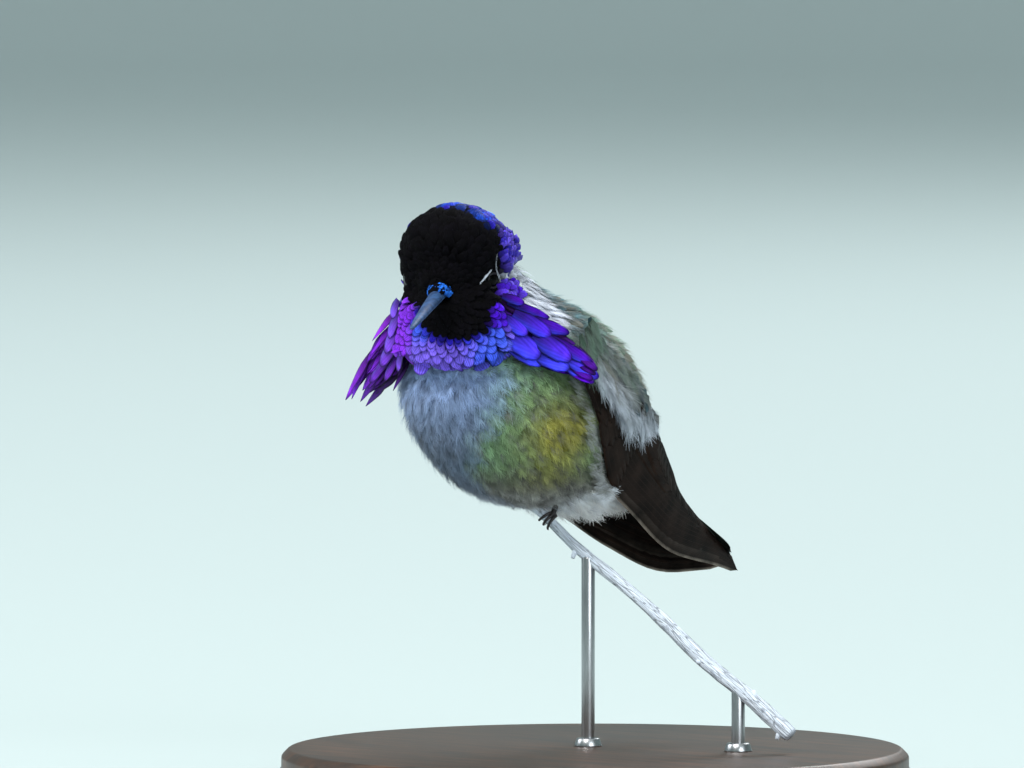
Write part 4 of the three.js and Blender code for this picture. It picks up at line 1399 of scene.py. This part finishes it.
def wingFeather(bm, surface, chord, look, columns=8, rows=26):
    # one long feather: its shaft runs from share a0 to a1 across the wing, and from start to end down it
    layout = bm.loops.layers.uv["vane"]
    tone = bm.verts.layers.float_vector["tone"]
    grid = bmesh.ops.create_grid(bm, x_segments=columns, y_segments=rows, size=0.5)["verts"]
    q = np.array([(v.co.x + 0.5, v.co.y + 0.5) for v in grid])
    d = look["start"] + (look["end"] - look["start"]) * q[:, 1]
    shaft = look["a0"] + (look["a1"] - look["a0"]) * q[:, 1] ** look.get("power", 1.2)
    wide = look["outer"] + look["inner"]
    tip = 2.6 / (look["end"] - look["start"])  # the share of its length that is rounded off
    shape = np.sqrt(np.clip(1 - np.clip((q[:, 1] - 1 + tip) / tip, 0, 1) ** 2, 0.006, 1))
    shape = shape * (0.35 + 0.65 * np.clip(q[:, 1] / 0.12, 0, 1))
    offset = (q[:, 0] * wide - look["outer"]) * shape
    # the tip is cut back along the inner vane, so it ends in a blunt point
    d = d - 1.2 * np.clip((q[:, 1] - 0.8) / 0.2, 0, 1) ** 2 * np.abs(q[:, 0] - look["outer"] / wide) * 2
    a = np.clip(shaft + offset / chord(d), -0.03, 1.04)
    cup = 0.1 * (1 - (2 * q[:, 0] - 1) ** 2)
    places = surface(d, a, look["out"] + cup)
    shade = tint[look["colour"]] * dice.uniform(0.75, 1.25)
    edge = tint[look["edge"]]
    for v, p, share in zip(grid, places, q):
        v.co = birdPoint(*p)
        paleness = look.get("rim", 0.4) * (share[0] < 0.05) + 0.2 * max(0, 0.5 - abs(share[0] - 0.6))
        v[tone] = shade * (1 - paleness) + edge * paleness
        # the quill is drawn at 0.27 across the layout, so the shaft is moved there
        moved = (0.27 - look["outer"] / wide) * (1 - abs(2 * share[0] - 1))
        for loop in v.link_loops:
            loop[layout].uv = (share[0] * 0.98 + 0.01 + moved, share[1])


def paintTones(mesh):
    # the colours given while modelling, moved to the colour attribute
    paint(mesh, readVectors(mesh.attributes["tone"].data, "vector"))
    mesh.attributes.remove(mesh.attributes["tone"])


def startFlightMesh():
    bm = bmesh.new()
    bm.loops.layers.uv.new("vane")
    bm.verts.layers.float_vector.new("tone")
    return bm


def addVanes(name, bm, material, node):
    mesh = meshOf(name, bm, False)
    paintTones(mesh)
    addModifier(addPiece(name, mesh, material, (node,)), "SOLIDIFY", thickness=0.05 * mm, offset=0)


def makeWing(hand, name, node):
    # flight feathers from the wing's outer edge inwards, then the tertials and coverts over their roots
    surface, chord = wingSurface(hand)
    bm = startFlightMesh()
    dark = {"colour": "wing", "edge": "wingPale"}
    primaries, secondaries = wing["primaryEnds"], wing["secondaryEnds"]
    for i, end in enumerate(primaries):
        step = i / (len(primaries) - 1)
        feather = {"start": 9 - 3 * step, "end": end, "a0": 0.06 + 0.5 * step,
                   "a1": (0.5, 0.66, 0.78)[i] if i < 3 else 0.86, "power": 2.6 - 1.2 * step,
                   "outer": 0.5 + 0.4 * step, "inner": 2.7 + 0.4 * step, "rim": 0.4 if i else 0.95,
                   "out": 0.1 + wing["layer"] * i, "colour": "wing", "edge": "wingPale" if i else "shaft"}
        wingFeather(bm, surface, chord, feather)
    for i, end in enumerate(secondaries):
        step = i / (len(secondaries) - 1)
        feather = {"start": 5, "end": end, "a0": 0.55 + 0.25 * step, "a1": 0.82, "outer": 1.0, "inner": 1.9,
                   "out": 0.1 + wing["layer"] * (len(primaries) + i), **dark}
        wingFeather(bm, surface, chord, feather, rows=16)
    laid = len(primaries) + len(secondaries)
    for i in range(wing["tertials"]):
        step = i / (wing["tertials"] - 1)
        feather = {"start": 3 - 2 * step, "end": 18.5 - 5 * step, "a0": 0.1 + 0.7 * step,
                   "a1": 0.08 + 0.84 * step, "outer": 0.7, "inner": 1.5,
                   "out": 0.2 + wing["layer"] * (laid + 0.4 * i), **dark}
        wingFeather(bm, surface, chord, feather, 6, 12)
    for row in range(wing["covertRows"]):
        for i in range(wing["coverts"]):
            step = (i + 0.5 * (row % 2)) / (wing["coverts"] - 0.5)
            feather = {"start": 7.5 - 2.7 * row + dice.uniform(-0.4, 0.4),
                       "end": 12 - 2.6 * row + dice.uniform(-0.5, 0.5), "a0": 0.05 + 0.9 * step,
                       "a1": 0.04 + 0.92 * step, "outer": 0.75, "inner": 0.95,
                       "out": 0.4 + wing["layer"] * (laid + 2 * row), **dark}
            wingFeather(bm, surface, chord, feather, 6, 8)
    addVanes(name, bm, flightVaneMaterial, node)
    makeShoulder(surface, name.replace("wing", "shoulder").replace("_feathers", ""))


shoulder = {
    # where the feathers start across the wing, by the distance down it
    "down": [-3, 1.2, 6.2, 8.2, 11, 13.7, 16],
    "from": [-0.1, 0.24, 0.34, 0.4, 0.62, 0.84, 1.05],
    "layers": (
        # shape, how many, width, length, mm outwards, how far in from their start, how swung
        ("scale", 420, 1.9, 2.6, 1.2, 0.1, 8),
        ("plume", 900, 1.6, 2.9, 1.4, 0.02, 10),
        ("down", 420, 1.5, 4.2, 1.55, 0.0, 11),
    ),
    "fringe": 240,
}


def makeShoulder(surface, name):
    def frameAt(d, a, out, drift):
        flat = np.zeros(len(d))
        roots = surface(d, a, out)
        lies = unit(surface(d + 1, a + drift, flat) - surface(d, a, flat))
        return feetPlace * mm + roots * mm, unit(surface(d, a, flat + 1) - surface(d, a, flat)), lies

    for kind, many, width, length, out, inset, swing in shoulder["layers"]:
        d, a = dice.uniform(-3, 16, many), dice.uniform(-0.2, 1.06, many)
        into = a - np.interp(d, shoulder["down"], shoulder["from"])
        keep = (into > inset) & ((kind != "down") | (into < 0.25))
        d, a, into = d[keep], a[keep], into[keep]
        thin = 1 - 0.3 * smooth(5, 11, d)
        roots, ups, lies = frameAt(d, a, (out + 0.3 * dice.random(len(d))) * thin, -0.015)
        greyed = smooth(0.08, 0.3, into) * dice.uniform(0.3, 1, len(d))
        colours = mix(np.tile(tint["scapular"], (len(d), 1)), "backGrey", greyed)
        colours = mix(colours, "backGreen", smooth(0.3, 0.55, into) * dice.uniform(0.1, 0.7, len(d)))
        colours = mix(colours, "backGreen", smooth(3, -1, d) * 0.8)
        colours = colours * (1 - 0.4 * smooth(0.12, 0.4, into) * dice.uniform(0.4, 1, len(d)))[:, None]
        colours = streaked(streaked(colours, "streak", 0.14), "white", 0.12 * (into < 0.2))
        material, dark = downBarbs, 0.6
        if kind == "scale":
            material, dark = bodyVane, 0.3
            colours = streaked(streaked(varied(colours, 0.2), "backTeal", 0.2), "belly", 0.15)
        sizes = sized(len(d), width, length, 0.2)
        layFeathers(f"{name}_{kind}_feathers", shapes[kind], roots, ups, lies, sizes,
                    varied(colours, 0.12) * dark, colours * 1.2, material, "plumage", bodyUnwrap,
                    jitter=swing, follow=False, bend=0.15, sink=0.15)
    # the flank's fringe, over the leading edge
    many = shoulder["fringe"]
    d, a = dice.uniform(-1, 18, many), dice.uniform(-0.22, 0.0, many)
    roots, ups, lies = frameAt(d, a, 0.35 + 0.5 * dice.random(many), 0.12)
    colours = mix(varied(bodyColour(roots), 0.15), "backGrey", (dice.random(many) < 0.6) * 0.8)
    colours = mix(colours, "vent", (dice.random(many) < 0.5) * 0.35)
    layFeathers(f"{name}_fringe_feathers", shapes["hair"], roots, ups, lies, sized(many, 1.2, 2.3, 0.2),
                colours * 0.6, colours * 1.15, downBarbs, "plumage", bodyUnwrap, jitter=12, follow=False,
                bend=0.3, sink=0.5)


makeWing(1, "wing_left_feathers", "wing_left")
makeWing(-1, "wing_right_feathers", "wing_right")
print("wings made")

tail = {
    "length": 25.0, "slope": 33, "root": (0, 11.5, 6.6), "spread": 6.0, "rootHalf": 1.8, "vane": 3.0,
    "feathers": 10,
}


def makeTail():
    bm = startFlightMesh()
    layout = bm.loops.layers.uv["vane"]
    tone = bm.verts.layers.float_vector["tone"]
    slope = math.radians(tail["slope"])
    ahead = np.array((0, math.cos(slope), -math.sin(slope)))
    up = np.array((0, math.sin(slope), math.cos(slope)))
    for i in range(tail["feathers"]):
        share = i / (tail["feathers"] - 1) * 2 - 1
        long = tail["length"] * (0.99 - 0.08 * abs(share) ** 1.5)
        height = 0.35 - 0.5 * abs(share)
        shade = dice.uniform(0.8, 1.2)
        grid = bmesh.ops.create_grid(bm, x_segments=8, y_segments=24, size=0.5)["verts"]
        for v in grid:
            a, s = v.co.x * 2, v.co.y + 0.5
            spot = (v.co.x + 0.5, s)
            rounded = math.sqrt(max(0.008, 1 - max(0, (s - 0.84) / 0.16) ** 2))
            half = tail["vane"] / 2 * (0.5 + 0.5 * min(1, s / 0.3)) * rounded
            sideways = share * tail["rootHalf"] + math.tan(math.radians(tail["spread"]) * share) * s * long
            sideways -= share * 0.8 * s**3
            place = np.array(tail["root"]) + ahead * (s * long - 0.7 * a * a * s**6)
            place = place + up * (height + 0.12 * (1 - a * a)) + np.array((1, 0, 0)) * (sideways + a * half)
            v.co = birdPoint(*place)
            v[tone] = (tint["tail"] * s + tint["tailGreen"] * (1 - s)) * shade
            for loop in v.link_loops:
                loop[layout].uv = spot
    addVanes("tail_feathers", bm, tailVaneMaterial, "tail")


makeTail()
print("tail made")

bill = {
    "rootY": -7, "rootZ": -1.75, "length": 17.5, "hidden": 1.5, "wide": 1.04,
    "upper": 0.98, "lower": 0.7, "rings": 30, "sides": 28,
    "gap": 0.03,  # from the middle plane to each half
}


def makeBill():
    for name, rise, side in (("bill_upper", bill["upper"], 1), ("bill_lower", bill["lower"], -1)):
        bm = bmesh.new()
        rings, circle = pullRings(bm, bill["sides"], bill["rings"] + 1, capped=True)
        for i, ring in enumerate(rings):
            s = i / bill["rings"]
            y = bill["rootY"] + bill["hidden"] - s * (bill["length"] + bill["hidden"])
            taper = ((1 - s) * 0.62 + 0.38 - 0.16 * s**6) * (1 if s < 0.985 else 0.55)
            for v, p in zip(ring, circle):
                # a half round: flat where the halves meet, ridged along its top
                half = max(0.0, p.y * side)
                x = p.x * bill["wide"] * taper * (1 - 0.12 * half)
                v.co = (x, y, bill["rootZ"] - 0.1 * s * s + side * (half**0.85 * rise * taper + bill["gap"]))
        capRing(bm, rings[-1])
        bmesh.ops.remove_doubles(bm, verts=bm.verts, dist=1e-5)
        for v in bm.verts:
            v.co = headPoint(v.co.x + (bill["rootY"] - v.co.y) * billTurn, v.co.y, v.co.z)
        addPiece(f"{name}_horn", meshOf(f"{name}_horn", bm), billHorn, (name,))


makeBill()
print("bill made")

brow = {
    # two lines of fine pale feathers in mm (back, up, out) from the ball's middle: one before the opening,
    # and one that runs down behind it; the first turns its feathers the other way
    "lines": (((-3.1, 0.15, 2.55), (-2.05, 0.94, 2.6), (-1.15, 1.5, 2.5)),
              ((0.3, 3.2, 2.0), (0.15, 1.6, 1.9), (1.05, 0, 1.5))),
    "ways": (-1, 1), "pale": (0.95, 0.65),
    "steps": 18, "half": 0.06, "rightLower": 0.45,
}


def makeEye(hand, name):
    centre, look, up = eyeCentre[hand], eyeLook[hand], eyeUp[hand]
    turn = Matrix(np.column_stack([np.cross(up, look), up, look]).tolist())
    bm = bmesh.new()
    bmesh.ops.create_uvsphere(bm, u_segments=40, v_segments=28, radius=eye["radius"] * mm)
    bmesh.ops.rotate(bm, verts=bm.verts, matrix=turn)
    bmesh.ops.translate(bm, verts=bm.verts, vec=Vector(centre))
    mesh = meshOf(f"{name}_ball", bm)
    facing = unit(readVectors(mesh.vertices, "co") - centre) @ look
    pupil = smooth(0.8, 0.86, facing)[:, None]
    paint(mesh, linear("#120a06") * (1 - pupil) + linear("#010101") * pupil)
    addPiece(f"{name}_ball", mesh, eyeMaterial(), (name,))
    # lids: a thin wrinkled rim spun round the look, then drawn to the opening's almond shape on the ball
    bm = bmesh.new()
    ring = bmesh.ops.create_circle(bm, cap_ends=False, segments=10, radius=0.15)["verts"]
    bmesh.ops.rotate(bm, verts=ring, matrix=Matrix.Rotation(math.pi / 2, 3, "X"))
    bmesh.ops.translate(bm, verts=ring, vec=(eye["long"], 0, 0))
    spinAround(bm, list(ring) + edgesOf(ring), 48)
    for v in bm.verts:
        angle = math.atan2(v.co.y, v.co.x)
        off = math.hypot(v.co.x, v.co.y) - eye["long"]
        edge = 1 / math.hypot(math.cos(angle) / eye["long"], math.sin(angle) / eye["tall"])
        edge += 0.16 * max(0, -math.cos(angle) * hand) ** 6
        height = math.sqrt(eye["radius"] ** 2 - edge**2) + 0.02 + 0.02 * math.sin(angle * 17)
        v.co = Vector((math.cos(angle) * (edge + off), math.sin(angle) * (edge + off), v.co.z + height)) * mm
    bmesh.ops.rotate(bm, verts=bm.verts, matrix=turn)
    bmesh.ops.translate(bm, verts=bm.verts, vec=Vector(centre))
    addPiece(f"{name}_lid", meshOf(f"{name}_lid", bm), lidSkin)
    makeBrow(hand, name)


def makeBrow(hand, name):
    axes = np.array((eyeBack[hand], eyeUp[hand], eyeLook[hand]))
    roots, lies, ups = [], [], []
    for points, way in zip(brow["lines"], brow["ways"]):
        line = curveThrough(points)
        for share in np.linspace(0, 1, brow["steps"]):
            ahead = unit(line(min(1, share + 0.05)) - line(max(0, share - 0.05)))
            for step in (-brow["half"], brow["half"]):
                spot = line(share) + np.array((-ahead[1], ahead[0], 0)) * step
                spot[2] -= brow["rightLower"] if hand < 0 else 0
                roots.append(eyeCentre[hand] + spot @ axes * mm)
                lies.append(ahead @ axes * way)
                ups.append(unit(eyeLook[hand] + eyeBack[hand] * 0.15 * line(share)[0]))
    count = len(roots)
    pale = np.repeat(brow["pale"], count // 2)[:, None]
    colours = varied(np.tile(tint["white"], (count, 1)), 0.1) * pale
    thin = np.concatenate([0.8 - 0.5 * np.abs(np.linspace(-1, 0.8, 36)), np.linspace(0.3, 0.6, 36)])[:, None]
    layFeathers(f"{name}_brow", shapes["wisp"], np.array(roots), np.array(ups), np.array(lies),
                sized(count, 0.5, 0.7) * thin, colours * 0.85, colours, downBarbs, "nape", headUnwrap,
                follow=False, bend=0.1, sink=0.02)


makeEye(1, "eye_left")
makeEye(-1, "eye_right")
print("eyes made")

twig = {
    "route": [(-2.8, -2.3, 2.1), (0.5, -1.1, 0.8), (5.4, 0.7, -3.7), (11.2, 2.8, -8.2), (15.6, 4.4, -11.9),
              (20.9, 6.3, -16.8), (26.4, 8.3, -21.1), (31.4, 10.1, -25.4)],
    "tip": 0.5, "cutEnd": 1.0, "sides": 28, "rings": 200,
    # stubs of side shoots: share along the twig, how far ahead and up they point, length, radius
    "stubs": [(0.285, 0.6, -1, 0.8, 0.4), (0.71, 1, -0.3, 0.2, 0.42), (0.875, 0.2, 1, 0.6, 0.4),
              (0.965, 0.5, -1, 0.7, 0.4)],
    "barkAround": 6.0, "barkAlong": 45.0,  # the bark's own layout
}
twigLine = curveThrough(twig["route"])


def twigRadius(share):
    return twig["tip"] + (twig["cutEnd"] - twig["tip"]) * share


def makeTwig():
    bm = bmesh.new()
    shares = np.linspace(0, 1, twig["rings"])
    ripple = np.interp(shares, np.linspace(0, 1, 40), dice.uniform(-0.05, 0.05, 40))
    radii = [twigRadius(s) * (1 + r) * mm for s, r in zip(shares, ripple)]
    radii[0] *= 0.7
    radii[-1] *= 0.86
    rings = sweep(bm, [birdPoint(*twigLine(s)) for s in shares], radii, twig["sides"])
    layout = bm.loops.layers.uv.new("bark")
    around = twig["barkAround"]
    place = {}
    for i, ring in enumerate(rings):
        for k, v in enumerate(ring):
            place[v] = (k / twig["sides"] * around, i * twig["barkAlong"] / twig["rings"])
    for face in bm.faces:
        for loop in face.loops:
            u, w = place[loop.vert]
            if u == 0 and any(place[other.vert][0] > around / 2 for other in face.loops):
                u = around
            loop[layout].uv = (u, w)
    # shallow cracks: rows of vertices pressed in along the twig
    for i, ring in enumerate(rings):
        middle = birdPoint(*twigLine(shares[i]))
        for k, v in enumerate(ring):
            groove = math.sin(k * 2.1 + 3 * math.sin(i * 0.021 * (1 + k % 3))) * 0.035
            groove += math.sin(k * 0.9 + i * 0.11) * 0.02
            v.co = middle + (v.co - middle) * (1 + groove)
    upright = Vector((0, 0, 1))
    for share, ahead, up, length, radius in twig["stubs"]:
        away = Vector((0, -ahead, up)).normalized()
        reach = (twigRadius(share) + length) * mm
        stub = addCone(bm, 14, radius * mm, radius * 0.62 * mm, reach, (0, 0, reach / 2))
        bmesh.ops.rotate(bm, verts=stub, matrix=upright.rotation_difference(away).to_matrix())
        bmesh.ops.translate(bm, verts=stub, vec=birdPoint(*twigLine(share)))
    addPiece("twig_bark", meshOf("twig_bark", bm), barkMaterial(), ("twig",))


makeTwig()
print("twig made")

feet = {
    "right": 0.055, "left": 0.19,  # where they grip, as shares along the twig
    "toe": 0.23, "shank": 0.34, "claw": 0.65,
    # each toe's sideways spread in mm, and the angles round the twig that it runs from and to
    "toes": ((0, -30, 150), (-0.75, -30, 140), (0.75, -30, 140), (0, 30, -130)),
}


def makeFoot(name, share):
    centre = twigLine(share)
    axis = unit(twigLine(share + 0.01) - twigLine(share - 0.01))
    ahead = unit(np.array((0, -1, 0)) + axis * axis[1])
    up = unit(np.array((0, 0, 1)) - axis * axis[2])
    wrap = twigRadius(share) + feet["toe"] * 0.9
    bm = bmesh.new()
    clawBm = bmesh.new()
    for spread, fromAngle, toAngle in feet["toes"]:
        route, radii = [], []
        for s in np.linspace(0, 1, 30):
            angle = math.radians(fromAngle + (toAngle - fromAngle) * s)
            spot = centre + up * math.cos(angle) * wrap + ahead * math.sin(angle) * wrap
            route.append(birdPoint(*(spot + axis * spread * (0.3 + 0.7 * s))))
            radii.append(feet["toe"] * (1 - 0.4 * s) * (1 + 0.1 * math.sin(s * 2 * math.pi * 9)) * mm)
        sweep(bm, route, radii, 10)
        end, way = np.array(route[-1]), unit(np.array(route[-1]) - np.array(route[-2]))
        inward = unit(centre + feetPlace - end / mm) * 0.35
        claw = feet["claw"] * mm
        hook = [Vector(end + (way * s + inward * s * s) * claw) for s in np.linspace(-0.2, 1, 9)]
        sweep(clawBm, hook, [feet["toe"] * 0.6 * (1 - 0.9 * s) * mm + 1e-5 for s in np.linspace(0, 1, 9)], 8)
    knee = centre + up * (wrap - 0.1)
    line = curveThrough([knee, knee + (0, 1.2, 2), (knee[0] * 1.2, knee[1] + 2.6, knee[2] + 4.2)])
    shares = np.linspace(0, 1, 26)
    sweep(bm, [birdPoint(*line(s)) for s in shares],
          [feet["shank"] * (1 + 0.08 * math.sin(s * 40)) * (1 - 0.1 * s) * mm for s in shares], 12)
    addPiece(f"{name}_scales", meshOf(f"{name}_scales", bm), footSkin, (name,))
    addPiece(f"{name}_claws", meshOf(f"{name}_claws", clawBm), clawHorn)


makeFoot("leg_right", feet["right"])
makeFoot("leg_left", feet["left"])
print("feet made")

stand = {"radius": 38, "height": 5, "bevel": 0.9, "rod": 0.8, "rodShares": (0.32, 0.82), "ferrule": 1.7}


def makeStand():
    r, h, b = stand["radius"] * mm, stand["height"] * mm, stand["bevel"] * mm
    profile = [(0, 0), (r - b, 0), (r, b * 0.6), (r, h * 0.45), (r - 0.5 * b, h * 0.52), (r - 0.5 * b, h - b),
               (r - 1.5 * b, h), (0, h)]
    bm = bmesh.new()
    spinProfile(bm, profile, 128)
    base = "stand_base"
    piece = addPiece(f"{base}_turned", meshOf(f"{base}_turned", bm), standWood, (base,))
    addModifier(piece, "BEVEL", width=0.25 * mm, segments=3)
    rod, ferrule = stand["rod"] * mm, stand["ferrule"] * mm
    for i, share in enumerate(stand["rodShares"]):
        top = birdPoint(*twigLine(share))
        length = top.z - h * 0.4
        bm = bmesh.new()
        addCone(bm, 40, rod, rod, length, (top.x, top.y, h * 0.4 + length / 2))
        addCone(bm, 40, ferrule, ferrule * 0.8, mm, (top.x, top.y, h + 0.5 * mm))
        name = f"stand_rod_{i + 1}"
        piece = addPiece(f"{name}_steel", meshOf(f"{name}_steel", bm), rodSteel, (name,))
        addModifier(piece, "BEVEL", width=0.12 * mm, segments=2, limit_method="ANGLE")


makeStand()
print("stand made")

studio = {
    "floor": 3.2, "sweep": 1.6, "wall": 3.0,  # metres
    "azimuth": 43, "elevation": 3, "distance": 1500,
    "scale": 0.12,  # mm of the object to one step of the view
    "steps": 1024,  # across the view
    "aim": (512 - 540, 515 - 384),  # the feet's place from the middle of the view, in those steps
    "lightsAim": (0, 0, 0.05),
    # place in metres, size, power and colour
    "lights": {
        "key": ((0.3, -1.25, 1.6), 0.9, 38, (1.0, 0.98, 0.95)),
        "fill": ((1.5, -0.5, 0.5), 1.0, 12, (0.92, 0.96, 1.0)),
        "left": ((-1.3, -0.9, 1.0), 1.0, 12, (0.95, 0.97, 1.0)),
        "rim": ((-0.4, 1.5, 1.2), 0.9, 15, (1.0, 1.0, 1.0)),
    },
}


def addToScene(name, data):
    thing = bpy.data.objects.new(name, data)
    bpy.context.scene.collection.objects.link(thing)
    return thing


def aimed(thing, place, back):
    # set in its place with its own +Z along back
    thing.location = place
    thing.rotation_mode = "QUATERNION"
    thing.rotation_quaternion = back.to_track_quat("Z", "Y")


def makeStudio():
    # a round paper sweep: floor, curve and wall in one
    reach, curve, wall = studio["floor"], studio["sweep"], studio["wall"]
    turns = np.linspace(0.1, math.pi / 2, 14)
    profile = [(0.0, 0.0), (reach, 0.0)]
    profile += [(reach + curve * math.sin(a), curve * (1 - math.cos(a))) for a in turns]
    profile += [(reach + curve, curve + wall)]
    bm = bmesh.new()
    spinProfile(bm, profile, 96)
    bmesh.ops.reverse_faces(bm, faces=[f for f in bm.faces if f.normal.z < 0])
    mesh = meshOf("studio_floor", bm, False)
    floor = addToScene("studio_floor", mesh)
    mesh.shade_smooth()
    # rolled paper backdrop, matt
    matt = {"Base Color": rgba("#b4c1c1"), "Roughness": 0.95, "Specular IOR Level": 0.1}
    mesh.materials.append(newMaterial("MattStudioPaper", matt)[0])


def addLight(name, place, size, power, colour):
    light = bpy.data.lights.new(name, "AREA")
    light.shape = "DISK"
    light.size = size
    light.energy = power
    light.color = colour
    aimed(addToScene(name, light), place, Vector(place) - Vector(studio["lightsAim"]))


def makeCamera():
    azimuth, elevation = math.radians(studio["azimuth"]), math.radians(studio["elevation"])
    right = Vector((math.cos(azimuth), math.sin(azimuth), 0))
    level = Vector((math.sin(azimuth), -math.cos(azimuth), 0)) * math.cos(elevation)
    back = level + Vector((0, 0, math.sin(elevation)))
    over = back.cross(right)
    aim = Vector(pose["feet"]) + (right * studio["aim"][0] + over * studio["aim"][1]) * studio["scale"]
    camera = bpy.data.cameras.new("camera")
    camera.sensor_width = 36
    camera.lens = 36 * studio["distance"] / (studio["steps"] * studio["scale"])
    camera.clip_start = 0.05
    camera.clip_end = 50
    viewer = addToScene("camera", camera)
    aimed(viewer, (aim + back * studio["distance"]) * mm, back)
    bpy.context.scene.camera = viewer


def makeWorld():
    world = bpy.data.worlds.new("world")
    world.use_nodes = True
    sky = world.node_tree.nodes["Background"]
    sky.inputs["Color"].default_value = rgba("#dfe8ea")
    sky.inputs["Strength"].default_value = 1.1
    bpy.context.scene.world = world
    bpy.context.scene.view_settings.view_transform = "Standard"


makeStudio()
for lightName, settings in studio["lights"].items():
    addLight(lightName, *settings)
makeCamera()
makeWorld()
print("studio made")
